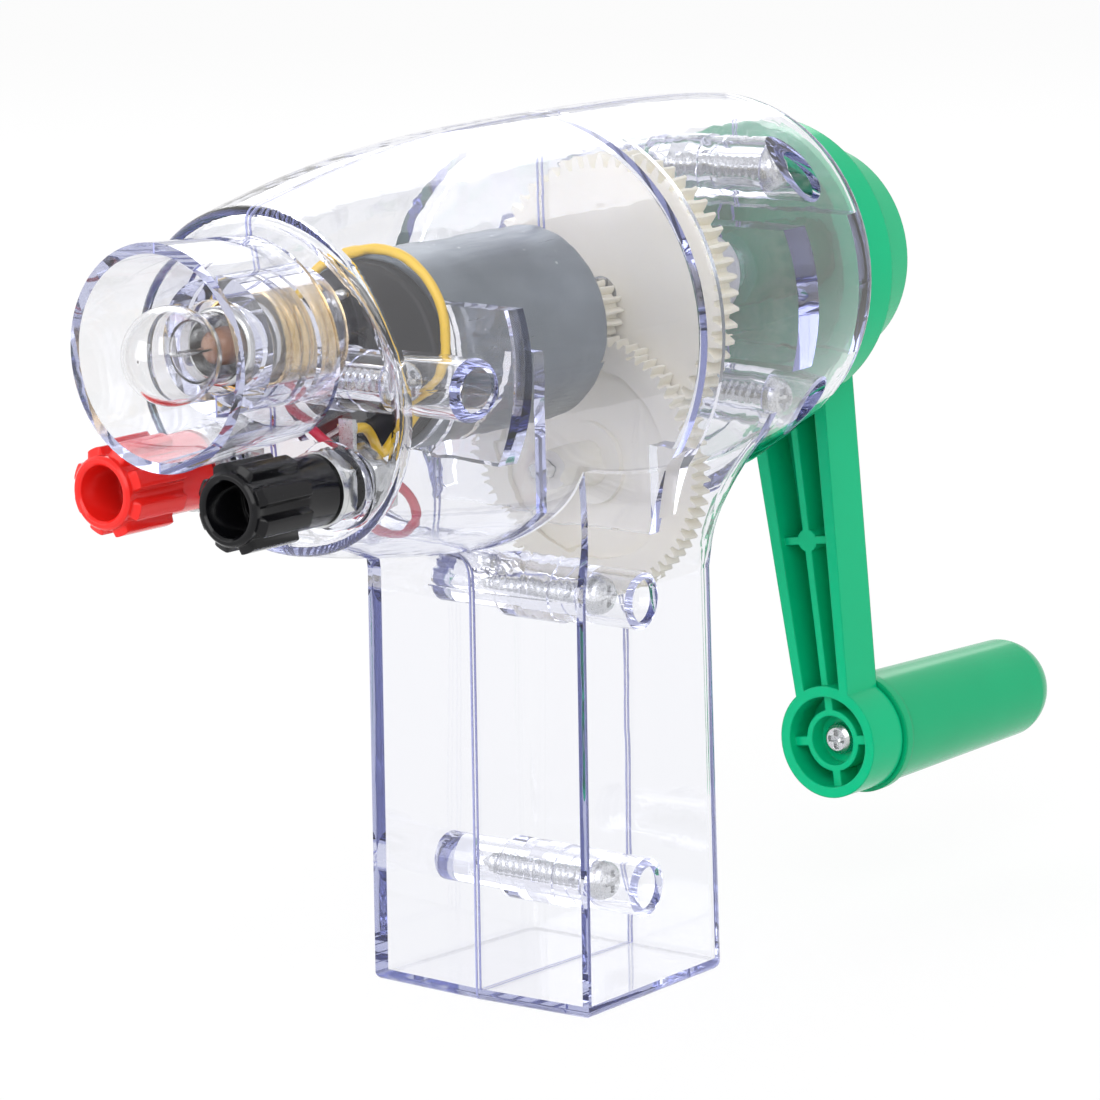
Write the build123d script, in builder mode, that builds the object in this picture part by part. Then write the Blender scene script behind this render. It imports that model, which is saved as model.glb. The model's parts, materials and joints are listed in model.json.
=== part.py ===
"""Hand crank generator in a clear two-part housing, drawn in millimetres.

The origin is the centre of the handle's flat foot, +Z is up and +X points to the lamp.
The two clear half shells meet on the plane y = 0. A green crank behind the barrel turns a large
gear, that drives a compound idler gear, that drives the pinion of a small motor used as the
dynamo. The motor lights a lamp in the nose and feeds two binding posts.
"""

from build123d import *
import os
from math import acos, ceil, cos, pi, radians, sin, tan

os.makedirs("parts", exist_ok=True)

# ------------------------------------------------------------------ driving dimensions
# Clearances
running = 0.05            # radial gap of a shaft that turns in its bearing
fixed_gap = 0.03          # radial gap of a part that is pressed or glued in its seat
side_gap = 0.3            # axial gap beside a part that turns
wheel_relief = 0.3        # room round the idler's wheel, let into the neck's walls
seam_gap = 0.03           # hairline between the two half shells

# Heights above the foot
barrel_height = 83.5
crank_height = 85.5
lamp_height = 88.4
post_height = 71.7

# Clear housing: a barrel of round stations and a handle column of five-cornered sections
wall = 1.5
floor_wall = 1.35
# station: position along X, height of its centre, outer radius
barrel_stations = (
    (58.0, 83.5, 19.8),
    (45.8, 83.5, 22.3),
    (31.0, 83.5, 24.6),
    (15.0, 83.5, 25.8),
    (0.0, 83.5, 26.1),
    (-13.0, 83.8, 25.8),
    (-27.0, 84.8, 24.5),
    (-43.0, 86.1, 21.6),
)
barrel_rear = -40.5
rear_round = 3.2
nose_x = 53.1             # nose face, where it crosses the barrel's axis
nose_slant = 7.5          # the nose face leans back towards the handle, in degrees
nose_round = 1.9
# section: height, front ridge, front corner and its half width,
#          rear ridge, rear corner and its half width, rear corner radius
front_corner = 5.4
foot_round = 1.0
handle_sections = (
    (0.0, 15.6, 14.8, 17.1, -15.9, -15.9, 15.6, 2.6),
    (52.0, 15.6, 14.8, 17.0, -15.6, -15.6, 15.0, 3.4),
)
neck_sections = (
    (52.0, 15.6, 14.8, 17.0, -15.6, -15.6, 15.0, 3.4),
    (55.2, 16.1, 14.85, 17.3, -15.9, -15.7, 16.0, 4.6),
    (58.0, 19.4, 15.1, 17.9, -18.2, -15.9, 17.2, 6.8),
    (61.0, 25.5, 15.8, 18.7, -23.5, -16.4, 17.9, 8.3),
    (64.0, 29.0, 17.0, 19.6, -27.5, -18.3, 18.6, 9.5),
    (67.0, 31.0, 18.5, 20.6, -30.0, -20.6, 19.8, 10.0),
    (70.0, 32.0, 20.0, 21.6, -32.0, -23.6, 21.2, 10.5),
)

# Lamp shroud and lamp socket
shroud_front = 71.5
shroud_radius = 13.4
shroud_root_x = 56.0
shroud_root_radius = 12.5
shroud_wall = 1.3
socket_front = 61.5
socket_rear = 46.5
socket_radius = 8.2
socket_bore = 5.6

# Binding posts
post_spread = 9.7         # from the parting plane to each post's axis
post_seat_x = 52.8
post_seat_radius = 5.3
post_seat_rear = 49.1
post_pad_radius = 4.2     # the seat's thinner pad behind the nose wall
stud_radius = 2.5
stud_front_radius = 3.0
stud_front = 64.0
stud_rear = 43.6
banana_bore = 2.0
banana_depth = 12.0
hex_flange = 1.9
hex_across = 8.2
clamp_washer_thick = 0.9
clamp_washer_radius = 4.5
knob_front = 71.2
knob_collar_length = 3.2
knob_collar_radius = 4.6
knob_core_radius = 4.3
knob_lobe_radius = 1.25
knob_lobe_circle = 4.15
knob_lobes = 8
knob_mouth = 3.3
knob_lip = 1.3
nut_thick = 3.0
nut_across = 7.8
tag_thick = 0.6
tag_radius = 3.7
tag_tail = 7.6
tag_width = 2.2
tag_turns = {-1: -45.0, 1: 90.0}   # direction of each tag's tail, from +Y towards +Z

# Gears: tooth counts, modules and face widths
crank_teeth = 54
pinion_teeth = 12
crank_module = 0.63
wheel_teeth = 66
motor_teeth = 14
motor_module = 0.48
backlash = 0.06
pressure_angle = 20.0
crank_gear_front = -11.7
crank_gear_width = 4.1
wheel_front = -8.6
wheel_width = 2.6
web_thick = 1.8
rim_width = 3.0
idler_pinion_rear = -16.0
motor_pinion_rear = -11.4
motor_pinion_width = 3.8

# Bulkhead, bearing bars and axles
bulkhead_x = -0.4
bulkhead_thick = 2.0
bulkhead_foot = 59.0
lip_width = 5.0
lip_thick = 1.1
tab_inner = 15.8          # stiffening tabs behind the bulkhead's lower corners
tab_foot = 60.8
tab_top = 70.0
bar_height = 17.0
bar_width = 5.0
front_bar_x = -24.5       # rear face of the bar nearest the gear
rear_bar_x = -40.5
idler_web_x = -19.2
idler_web_thick = 2.0
idler_web_top = 72.0
idler_web_foot = 58.0
crank_shaft_radius = 2.5
crank_bush_radius = 3.9
crank_bush_flange = 5.2
crank_bush_flange_thick = 0.8
idler_axle_radius = 1.0
idler_hub_radius = 2.6

# Motor
motor_rear = 3.1
motor_radius = 12.2
can_length = 30.6
can_wall = 0.8
can_corner = 1.2
motor_boss_radius = 3.0
motor_boss_length = 2.6
motor_shaft_radius = 1.0
cap_radius = 11.2
cap_thick = 1.9
cap_boss_radius = 3.2
cap_boss_length = 0.9
terminal_spread = 8.0
terminal_length = 2.4
magnet_thick = 2.2
magnet_length = 20.0
magnet_gap = 50.0         # angle left open between the two magnets, in degrees
armature_radius = 7.9
armature_length = 15.0
pole_count = 3
motor_rib_x = 32.2        # rib that holds the front of the can
motor_rib_thick = 3.0
motor_rib_height = 18.0
cradle_x = 20.5
cradle_thick = 2.0
cradle_half_width = 15.5

# Screws across the parting plane: position along X, height, seat of the head, tip of the screw
screw_places = (
    (1.2, 50.25, 8.0, -9.0),
    (1.2, 13.86, 8.0, -9.0),
    (41.4, 82.6, 11.0, -5.0),
    (-28.8, 100.0, 13.6, -3.4),
    (-28.8, 71.4, 13.6, -3.4),
)
boss_radius = 3.7
boss_recess = 2.8
post_radius = 3.2
collar_radius = 4.0
collar_length = 4.3
screw_radius = 1.4
screw_head_radius = 2.6
screw_head_thick = 1.9

# Crank arm, in its own frame: u runs out along the arm from the crank axis
crank_tilt = 8.0          # the arm's angle from straight down, towards +Y, in degrees
arm_length = 63.7
disc_front = -41.5
disc_radius = 18.8
disc_depth = 5.0
disc_round = 2.0
dome_radius = 15.8
dome_rear = -58.5
dome_round = 5.2
disc_wall = 2.2
crank_hub_radius = 5.0
arm_front = -47.4
arm_depth = 6.6
arm_root = 11.0           # where the arm leaves the hub, inside the disc
arm_root_width = 13.2
arm_tip_width = 7.8
arm_flange = 1.3
arm_web = 1.5
rib_thick = 1.0
rib_setback = 0.9
cross_rib_place = 37.0
cross_boss_radius = 1.5
ring_radius = 7.47
ring_bore = 6.05
ring_boss_radius = 4.1
ring_boss_setback = 1.2
ring_recess_radius = 3.3
ring_recess_depth = 2.4
ring_web_thick = 1.2

# Grip and its screw
grip_gap = 0.4
grip_length = 39.8
grip_root_radius = 7.5
grip_tip_radius = 6.7
grip_flange_radius = 8.0
grip_flange_thick = 1.4
grip_end_round = 5.6
grip_screw_radius = 1.6
grip_screw_head = 2.7
grip_screw_head_thick = 1.5
grip_screw_length = 20.0

# Lamp
globe_radius = 5.85
globe_x = 69.0
globe_wall = 0.45
lamp_cap_radius = 4.7
lamp_cap_front = 61.3
lamp_cap_rear = 52.0
lamp_cap_wall = 0.35
lamp_tip_rear = 49.6
shell_front = 57.5
shell_rear = 47.6
shell_tab_height = 4.4
contact_thick = 0.4

# Leads
lead_radius = 0.6
link_radius = 0.3
red_route = (
    (46.27, -2.2, 80.38),
    (46.27, -2.2, 78.9),
    (46.8, 2.2, 77.4),
    (46.6, 4.5, 75.7),
    (43.4, 5.0, 73.6),
    (41.0, 5.0, 72.4),
    (37.4, 5.0, 69.7),
    (33.7, 5.0, 67.9),
    (31.6, 5.0, 64.5),
    (33.6, 5.0, 62.7),
    (37.6, 4.6, 63.1),
    (41.2, 4.2, 65.6),
    (44.6, 2.6, 66.2),
    (46.2, -2.2, 66.4),
    (47.0, -4.7, 66.7),
    (48.49, -4.7, 66.7),
)
yellow_route = (
    (48.49, 9.7, 78.0),
    (46.4, 9.7, 78.0),
    (44.6, 9.0, 77.6),
    (42.4, 8.2, 76.0),
    (40.9, 8.0, 73.2),
    (38.4, 8.9, 76.6),
    (37.3, 10.7, 79.9),
    (35.4, 12.2, 82.3),
    (34.7, 12.1, 85.6),
    (34.7, 11.9, 90.3),
    (34.7, 9.3, 94.2),
    (34.7, 5.4, 96.5),
    (34.7, 0.6, 96.8),
    (34.7, -3.2, 95.8),
    (35.2, -6.4, 94.2),
    (36.8, -6.6, 91.6),
    (40.6, -6.2, 89.8),
    (44.6, -5.4, 89.7),
)
upper_link_route = (
    (38.0, 0.0, 91.9),
    (39.8, -0.6, 91.8),
    (42.2, -4.4, 89.0),
    (43.2, -5.4, 87.4),
    (44.6, -5.4, 87.3),
)
lower_link_route = (
    (38.0, 0.0, 75.9),
    (40.2, -0.4, 75.6),
    (44.2, -3.6, 71.0),
    (45.2, -5.2, 68.6),
    (46.8, -5.7, 67.7),
    (48.5, -5.7, 67.7),
)

# ------------------------------------------------------------------ values that follow
crank_pitch_radius = crank_module * crank_teeth / 2
pinion_pitch_radius = crank_module * pinion_teeth / 2
wheel_pitch_radius = motor_module * wheel_teeth / 2
motor_pitch_radius = motor_module * motor_teeth / 2
idler_height = crank_height - crank_pitch_radius - pinion_pitch_radius
motor_height = idler_height + wheel_pitch_radius + motor_pitch_radius
can_front = motor_rear + can_length
arm_rear = arm_front - arm_depth
grip_front = arm_rear - grip_gap
bulkhead_front = bulkhead_x + bulkhead_thick
neck_radius = lamp_cap_radius - lamp_cap_wall - fixed_gap
contact_x = socket_rear - contact_thick - 0.02
crank_gear_rear = crank_gear_front - crank_gear_width

nose_plane = Plane(
    origin=(nose_x, 0, barrel_height),
    x_dir=(0, 1, 0),
    z_dir=(cos(radians(nose_slant)), 0, -sin(radians(nose_slant))),
)
arm_plane = Plane(
    origin=(0, 0, crank_height),
    x_dir=(0, sin(radians(crank_tilt)), -cos(radians(crank_tilt))),
    z_dir=(1, 0, 0),
)
grip_y = arm_length * sin(radians(crank_tilt))
grip_height = crank_height - arm_length * cos(radians(crank_tilt))


def save(piece, name):
    """Label a finished solid or group and write it as its own file."""
    piece.label = name
    export_step(piece, f"parts/{name}.step")


def along_x(x, y=0.0, z=0.0):
    """A sketch plane square to X, whose first axis is +Y and second +Z."""
    return Plane(origin=(x, y, z), x_dir=(0, 1, 0), z_dir=(1, 0, 0))


def rod(x_from, x_to, radius, y=0.0, z=0.0):
    """A plain round bar along X."""
    with BuildPart() as bar:
        with BuildSketch(along_x(x_from, y, z)):
            Circle(radius)
        extrude(amount=x_to - x_from)
    return bar.part


def tube(x_from, x_to, radius, bore, y=0.0, z=0.0):
    """A plain round tube along X."""
    with BuildPart() as pipe:
        with BuildSketch(along_x(x_from, y, z)):
            Circle(radius)
            Circle(bore, mode=Mode.SUBTRACT)
        extrude(amount=x_to - x_from)
    return pipe.part


# ------------------------------------------------------------------ clear housing
def barrel(inset):
    """The barrel between the slanted nose face and the rear face, drawn in by inset."""
    rings = []
    for x, height, radius in barrel_stations:
        with BuildSketch(along_x(x, 0, height)) as ring:
            Circle(radius - inset)
        rings.append(ring.sketch)
    with BuildPart() as body:
        loft(sections=rings)
        split(bisect_by=nose_plane.offset(-inset), keep=Keep.BOTTOM)
        split(bisect_by=along_x(barrel_rear + inset), keep=Keep.TOP)
        fillet(body.faces().sort_by(Axis.X)[0].edges(), rear_round - inset)
        fillet(body.faces().sort_by(Axis.X)[-1].edges(), max(nose_round - inset, 0.4))
    return body.part


def column_section(row, inset):
    """One section of the handle column: six corners, four of them rounded."""
    height, ridge, shoulder, front_half, spine, rear, rear_half, rear_corner = row
    with BuildSketch(Plane.XY.offset(height)) as section:
        with BuildLine():
            Polyline(
                (ridge, 0),
                (shoulder, front_half),
                (rear, rear_half),
                (spine, 0),
                (rear, -rear_half),
                (shoulder, -front_half),
                close=True,
            )
        make_face()
        corners = section.vertices().filter_by(lambda corner: abs(corner.Y) > 1)
        fillet(corners.sort_by(Axis.X)[:2], rear_corner)
        fillet(corners.sort_by(Axis.X)[2:], front_corner)
        if inset > 0:
            offset(amount=-inset)
    return section.sketch


def column(inset, floor):
    """The handle and the neck that widens into the barrel, drawn in by inset."""
    handle = [column_section(row, inset) for row in handle_sections]
    neck = [column_section(row, inset) for row in neck_sections]
    with BuildPart() as body:
        loft(sections=handle, ruled=True)
        loft(sections=neck)
        if floor > 0:
            split(bisect_by=Plane.XY.offset(floor), keep=Keep.TOP)
        else:
            fillet(body.faces().sort_by(Axis.Z)[0].edges(), foot_round)
    return body.part


def cone(x_from, r_from, x_to, r_to, height):
    """A straight taper along X about the lamp axis."""
    with BuildSketch(along_x(x_from, 0, height)) as first:
        Circle(r_from)
    with BuildSketch(along_x(x_to, 0, height)) as last:
        Circle(r_to)
    with BuildPart() as body:
        loft(sections=[first.sketch, last.sketch], ruled=True)
    return body.part


def shroud_taper(x):
    """The shroud's outer radius at a position along X."""
    slope = (shroud_radius - shroud_root_radius) / (shroud_front - shroud_root_x)
    return shroud_radius + slope * (x - shroud_front)


def screw_boss_near(x, height):
    """Boss of the +Y shell: a collar at the parting plane and a tube out through the wall."""
    return drill(x, height, -1, collar_length, collar_radius) + drill(x, height, 0, 40, boss_radius)


def screw_post_far(x, height):
    """Post of the -Y shell, with a collar at the parting plane."""
    return drill(x, height, -collar_length, 1, collar_radius) + drill(x, height, -40, 0, post_radius)


def drill(x, height, y_from, y_to, radius):
    """A round cutter along Y."""
    with BuildPart() as cutter:
        with BuildSketch(Plane(origin=(x, y_from, height), x_dir=(1, 0, 0), z_dir=(0, 1, 0))):
            Circle(radius)
        extrude(amount=y_to - y_from)
    return cutter.part


def block(x_from, x_to, y_from, y_to, z_from, z_to):
    """A plain rectangular block between six planes."""
    with BuildPart() as body:
        with BuildSketch(Plane.XY.offset(z_from)):
            with Locations(((x_from + x_to) / 2, (y_from + y_to) / 2)):
                Rectangle(x_to - x_from, y_to - y_from)
        extrude(amount=z_to - z_from)
    return body.part


def inner_ribs():
    """Bulkhead, bearing bars and motor supports that span the housing, before trimming."""
    reach = 40.0
    with BuildPart() as ribs:
        add(block(bulkhead_x, bulkhead_front, -reach, reach, bulkhead_foot, barrel_height + reach))
        add(block(front_bar_x, front_bar_x + bar_width, -reach, reach,
                  crank_height - bar_height / 2, crank_height + bar_height / 2))
        add(block(rear_bar_x, rear_bar_x + bar_width, -reach, reach,
                  crank_height - bar_height / 2, crank_height + bar_height / 2))
        add(block(idler_web_x, idler_web_x + idler_web_thick, -reach, reach,
                  idler_web_foot, idler_web_top))
        for side in (1, -1):
            add(block(bulkhead_front - lip_width, bulkhead_x, min(side * tab_inner, side * reach),
                      max(side * tab_inner, side * reach), tab_foot, tab_top))
        add(block(motor_rib_x, motor_rib_x + motor_rib_thick, -reach, reach,
                  motor_height - motor_rib_height / 2 - 2, motor_height + motor_rib_height / 2 - 2))
        add(block(cradle_x, cradle_x + cradle_thick, -cradle_half_width, cradle_half_width,
                  barrel_height - reach, motor_height))
    return ribs.part


def lamp_cup():
    """The hollow of the shroud, from the nose face to its open front."""
    with BuildPart() as cup:
        add(cone(nose_x - 4, shroud_taper(nose_x - 4) - shroud_wall,
                 shroud_front + 1, shroud_taper(shroud_front + 1) - shroud_wall, lamp_height))
        split(bisect_by=nose_plane, keep=Keep.TOP)
    return cup.part


def outer_body():
    """Everything the housing covers, as one solid: barrel, handle, shroud and post seats."""
    with BuildPart() as body:
        add(barrel(0))
        add(column(0, 0))
        add(cone(nose_x - 4, shroud_taper(nose_x - 4), shroud_front, shroud_radius, lamp_height))
        add(lamp_cup(), mode=Mode.SUBTRACT)
        add(rod(socket_rear + 2, socket_front, socket_radius, 0, lamp_height))
        for side in (1, -1):
            add(rod(post_seat_rear, post_seat_x, post_seat_radius, side * post_spread, post_height))
    return body.part


def inner_void():
    """The hollow of the housing, less the ribs, bars and tubes that stand in it."""
    column_cavity = column(wall, floor_wall)
    with BuildPart() as lip:
        add(block(bulkhead_front - lip_width, bulkhead_front, -40, 40,
                  bulkhead_foot + 6, barrel_height + 40))
        add(barrel(wall + lip_thick), mode=Mode.SUBTRACT)
        add(column_cavity, mode=Mode.SUBTRACT)
    with BuildPart() as motor_seat:
        add(rod(bulkhead_front, can_front + fixed_gap, motor_radius + fixed_gap, 0, motor_height))
        add(rod(can_front, motor_rib_x + 10, cap_radius + 3.2, 0, motor_height))
        add(rod(bulkhead_x - 1, bulkhead_front, motor_boss_radius + fixed_gap, 0, motor_height))
    with BuildPart() as ribs:
        add(inner_ribs())
        add(motor_seat.part, mode=Mode.SUBTRACT)
    with BuildPart() as hollow:
        add(barrel(wall))
        add(column_cavity)
        add(lip.part, mode=Mode.SUBTRACT)
        add(ribs.part, mode=Mode.SUBTRACT)
        add(rod(socket_rear, socket_front, socket_radius, 0, lamp_height), mode=Mode.SUBTRACT)
        for side in (1, -1):
            add(rod(post_seat_rear, post_seat_x, post_pad_radius, side * post_spread, post_height),
                mode=Mode.SUBTRACT)
        add(rod(wheel_front - wheel_width - wheel_relief, wheel_front + wheel_relief,
                wheel_pitch_radius + motor_module + wheel_relief, 0, idler_height))
    return hollow.part


def bores():
    """Cutters for the shaft seats, the lamp socket and the two stud holes."""
    with BuildPart() as cutters:
        add(rod(bulkhead_x - 1, bulkhead_front + 1, idler_axle_radius + fixed_gap, 0, idler_height))
        add(rod(idler_web_x - 1, idler_web_x + idler_web_thick + 1, idler_axle_radius + fixed_gap,
                0, idler_height))
        for bar_x in (front_bar_x, rear_bar_x):
            add(rod(bar_x - 1, bar_x + bar_width + 1, crank_bush_radius + fixed_gap, 0, crank_height))
        add(rod(socket_rear - 1, socket_front + 1, socket_bore, 0, lamp_height))
        for side in (1, -1):
            add(rod(post_seat_rear - 1, post_seat_x + 1, stud_radius + fixed_gap,
                    side * post_spread, post_height))
    return cutters.part


def half_shell(outer, hollow, cutters, side):
    """One clear half shell, cut from the outer body on one side of the parting plane."""
    half = Keep.BOTTOM if side > 0 else Keep.TOP
    seam = Plane.XZ if side > 0 else Plane.XZ.offset(seam_gap)
    with BuildPart() as space:
        add(hollow)
        for x, height, seat, tip in screw_places:
            boss = screw_boss_near(x, height) if side > 0 else screw_post_far(x, height)
            add(boss, mode=Mode.SUBTRACT)
        split(bisect_by=Plane.XZ, keep=half)
    with BuildPart() as shell:
        add(outer)
        split(bisect_by=seam, keep=half)
        add(space.part, mode=Mode.SUBTRACT)
        add(cutters, mode=Mode.SUBTRACT)
        for x, height, seat, tip in screw_places:
            if side > 0:
                add(drill(x, height, seat, 40, boss_recess), mode=Mode.SUBTRACT)
                add(drill(x, height, -1, seat + 1, screw_radius + 0.2), mode=Mode.SUBTRACT)
            else:
                add(drill(x, height, tip - 1, 1, screw_radius + fixed_gap), mode=Mode.SUBTRACT)
    return shell.part


def housing_screw(x, height, seat, tip):
    """A pan-head self-tapping screw along Y, its head towards +Y."""
    with BuildPart() as screw:
        with BuildSketch(Plane(origin=(x, 0, height), x_dir=(1, 0, 0), z_dir=(0, 0, 1))):
            with BuildLine():
                Polyline(
                    (x * 0, tip),
                    (screw_radius * 0.35, tip),
                    (screw_radius, tip + 2.2),
                    (screw_radius, seat),
                    (screw_head_radius, seat),
                    (screw_head_radius, seat + screw_head_thick * 0.55),
                    (screw_head_radius * 0.7, seat + screw_head_thick),
                    (0, seat + screw_head_thick),
                    close=True,
                )
            make_face()
        revolve(axis=Axis((x, 0, height), (0, 1, 0)))
    return screw.part


# ------------------------------------------------------------------ gears
def tooth_outline(teeth, module, tooth_at):
    """Corner points of a spur gear: involute flanks drawn with two chords, radial below the base."""
    angle = radians(pressure_angle)
    pitch = module * teeth / 2
    base = pitch * cos(angle)
    tip = pitch + module
    root = pitch - 1.25 * module

    def half_tooth(radius):
        slope = acos(base / max(radius, base))
        return (pi / 2 - backlash / module) / teeth + (tan(angle) - angle) - (tan(slope) - slope)

    start = max(root, base)
    radii = [start, (start + tip) / 2, tip]
    if base > root:
        radii.insert(0, root)
    corners = []
    for tooth in range(teeth):
        centre = radians(tooth_at) + 2 * pi * tooth / teeth
        for radius in radii:
            lean = centre - half_tooth(radius)
            corners.append((radius * cos(lean), radius * sin(lean)))
        for radius in reversed(radii):
            lean = centre + half_tooth(radius)
            corners.append((radius * cos(lean), radius * sin(lean)))
    return corners


def gear_blank(x_from, width, teeth, module, tooth_at, height):
    """A toothed disc along X."""
    with BuildPart() as blank:
        with BuildSketch(along_x(x_from, 0, height)):
            with BuildLine():
                Polyline(*tooth_outline(teeth, module, tooth_at), close=True)
            make_face()
        extrude(amount=width)
    return blank.part


def crank_gear():
    """The large gear on the crank shaft, its web thinned from the rear, with a long hub."""
    root = crank_pitch_radius - 1.25 * crank_module
    hub_radius = 6.0
    with BuildPart() as gear:
        add(gear_blank(crank_gear_rear, crank_gear_width, crank_teeth, crank_module, -90, crank_height))
        add(tube(crank_gear_rear, crank_gear_front - web_thick, root - rim_width, hub_radius,
                 0, crank_height), mode=Mode.SUBTRACT)
        add(rod(front_bar_x + bar_width + crank_bush_flange_thick + side_gap, crank_gear_rear,
                4.2, 0, crank_height))
        add(rod(front_bar_x, crank_gear_front, crank_shaft_radius + fixed_gap, 0, crank_height),
            mode=Mode.SUBTRACT)
    return gear.part


def idler_gear():
    """The compound gear: a large wheel in front and a small pinion behind it."""
    root = wheel_pitch_radius - 1.25 * motor_module
    wheel_rear = wheel_front - wheel_width
    with BuildPart() as gear:
        add(gear_blank(wheel_rear, wheel_width, wheel_teeth, motor_module, 90, idler_height))
        add(tube(wheel_front - (wheel_width - web_thick), wheel_front, root - rim_width, 5.0,
                 0, idler_height), mode=Mode.SUBTRACT)
        add(gear_blank(idler_pinion_rear, wheel_rear - idler_pinion_rear, pinion_teeth, crank_module,
                       90 + 180 / pinion_teeth, idler_height))
        add(rod(wheel_front, bulkhead_x - side_gap, idler_hub_radius, 0, idler_height))
        add(rod(idler_web_x + idler_web_thick + side_gap, idler_pinion_rear, idler_hub_radius,
                0, idler_height))
        add(rod(idler_web_x, bulkhead_x, idler_axle_radius + running, 0, idler_height),
            mode=Mode.SUBTRACT)
    return gear.part


def motor_pinion():
    """The small nylon pinion pressed on the motor shaft."""
    with BuildPart() as gear:
        add(gear_blank(motor_pinion_rear, motor_pinion_width, motor_teeth, motor_module,
                       -90 + 180 / motor_teeth, motor_height))
        add(rod(motor_pinion_rear, motor_pinion_rear + motor_pinion_width,
                motor_shaft_radius + 0.01, 0, motor_height), mode=Mode.SUBTRACT)
    return gear.part


# ------------------------------------------------------------------ crank
def crank_disc_profile(grow):
    """Half outline of the disc and its dome, as (X, radius) corners with rounded edges."""
    front = disc_front
    outer = disc_radius - grow
    dome = dome_radius - grow
    rear = dome_rear + grow
    edge = max(disc_round - grow, 0.3)
    crown = max(dome_round - grow, 1.0)
    step_x = disc_front - disc_depth - disc_round + grow
    with BuildSketch(Plane(origin=(0, 0, crank_height), x_dir=(1, 0, 0), z_dir=(0, -1, 0))) as half:
        with BuildLine():
            Polyline(
                (front, 0),
                (front, outer),
                (step_x, outer),
                (step_x - 0.6, dome),
                (rear, dome - 1.6),
                (rear, 0),
                close=True,
            )
        make_face()
        fillet(half.vertices().group_by(Axis.Z)[-1].sort_by(Axis.X)[0], edge)
        rear_corner = half.vertices().sort_by(Axis.X)[:2].sort_by(Axis.Z)[-1]
        fillet(rear_corner, crown)
    return half.sketch


def crank_arm():
    """Green moulding: hollow disc with hub, channel arm with ribs, and the ring for the grip."""
    axis = Axis((0, 0, crank_height), (1, 0, 0))
    with BuildPart() as outside:
        add(crank_disc_profile(0))
        revolve(axis=axis)
    with BuildPart() as hollow:
        add(crank_disc_profile(disc_wall))
        revolve(axis=axis)
    half_root = arm_root_width / 2
    half_tip = arm_tip_width / 2
    with BuildPart() as arm:
        with BuildSketch(arm_plane.offset(arm_rear)):
            with BuildLine():
                Polyline(
                    (arm_root, -half_root),
                    (arm_length, -half_tip),
                    (arm_length, half_tip),
                    (arm_root, half_root),
                    close=True,
                )
            make_face()
            with Locations((arm_length, 0)):
                Circle(ring_radius)
        extrude(amount=arm_depth)
    with BuildPart() as channel:
        with BuildSketch(arm_plane.offset(arm_rear + arm_web)):
            with BuildLine():
                Polyline(
                    (disc_radius - 1, -half_root + arm_flange + 0.9),
                    (arm_length, -half_tip + arm_flange),
                    (arm_length, half_tip - arm_flange),
                    (disc_radius - 1, half_root - arm_flange - 0.9),
                    close=True,
                )
            make_face()
            with Locations((arm_length, 0)):
                Circle(ring_radius, mode=Mode.SUBTRACT)
        extrude(amount=arm_depth)
    with BuildPart() as ribs:
        with BuildSketch(arm_plane.offset(arm_rear)):
            with Locations(((disc_radius + arm_length) / 2 - 2, 0)):
                Rectangle(arm_length - disc_radius, rib_thick)
            with Locations((cross_rib_place, 0)):
                Rectangle(rib_thick, arm_tip_width)
                Circle(cross_boss_radius)
        extrude(amount=arm_depth - rib_setback)
    with BuildPart() as ring_hollow:
        with BuildSketch(arm_plane.offset(arm_rear + arm_web)):
            with Locations((arm_length, 0)):
                Circle(ring_bore)
                Circle(ring_boss_radius, mode=Mode.SUBTRACT)
                Rectangle(2 * ring_bore, ring_web_thick, mode=Mode.SUBTRACT)
                Rectangle(ring_web_thick, 2 * ring_bore, mode=Mode.SUBTRACT)
        extrude(amount=arm_depth)
    with BuildPart() as ring_trim:
        with BuildSketch(arm_plane.offset(arm_front - ring_boss_setback)):
            with Locations((arm_length, 0)):
                Circle(ring_bore)
        extrude(amount=arm_depth)
        with BuildSketch(arm_plane.offset(arm_front - ring_boss_setback - ring_recess_depth)):
            with Locations((arm_length, 0)):
                Circle(ring_recess_radius)
        extrude(amount=arm_depth)
        with BuildSketch(arm_plane.offset(arm_rear)):
            with Locations((arm_length, 0)):
                Circle(grip_screw_radius + running)
        extrude(amount=arm_depth)
    with BuildPart() as crank:
        add(arm.part)
        add(channel.part, mode=Mode.SUBTRACT)
        add(ribs.part & arm.part)
        add(outside.part)
        add(hollow.part, mode=Mode.SUBTRACT)
        add(rod(dome_rear + disc_wall - 0.5, disc_front + 0.5, crank_hub_radius, 0, crank_height))
        add(rod(dome_rear + 5.0, disc_front + 2, crank_shaft_radius + fixed_gap, 0, crank_height),
            mode=Mode.SUBTRACT)
        add(rod(dome_rear - 1, dome_rear + 6, 1.5 + fixed_gap, 0, crank_height), mode=Mode.SUBTRACT)
        add(rod(dome_rear - 1, dome_rear + 2.4, 3.2, 0, crank_height), mode=Mode.SUBTRACT)
        add(ring_hollow.part, mode=Mode.SUBTRACT)
        add(ring_trim.part, mode=Mode.SUBTRACT)
    return crank.part


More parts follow.
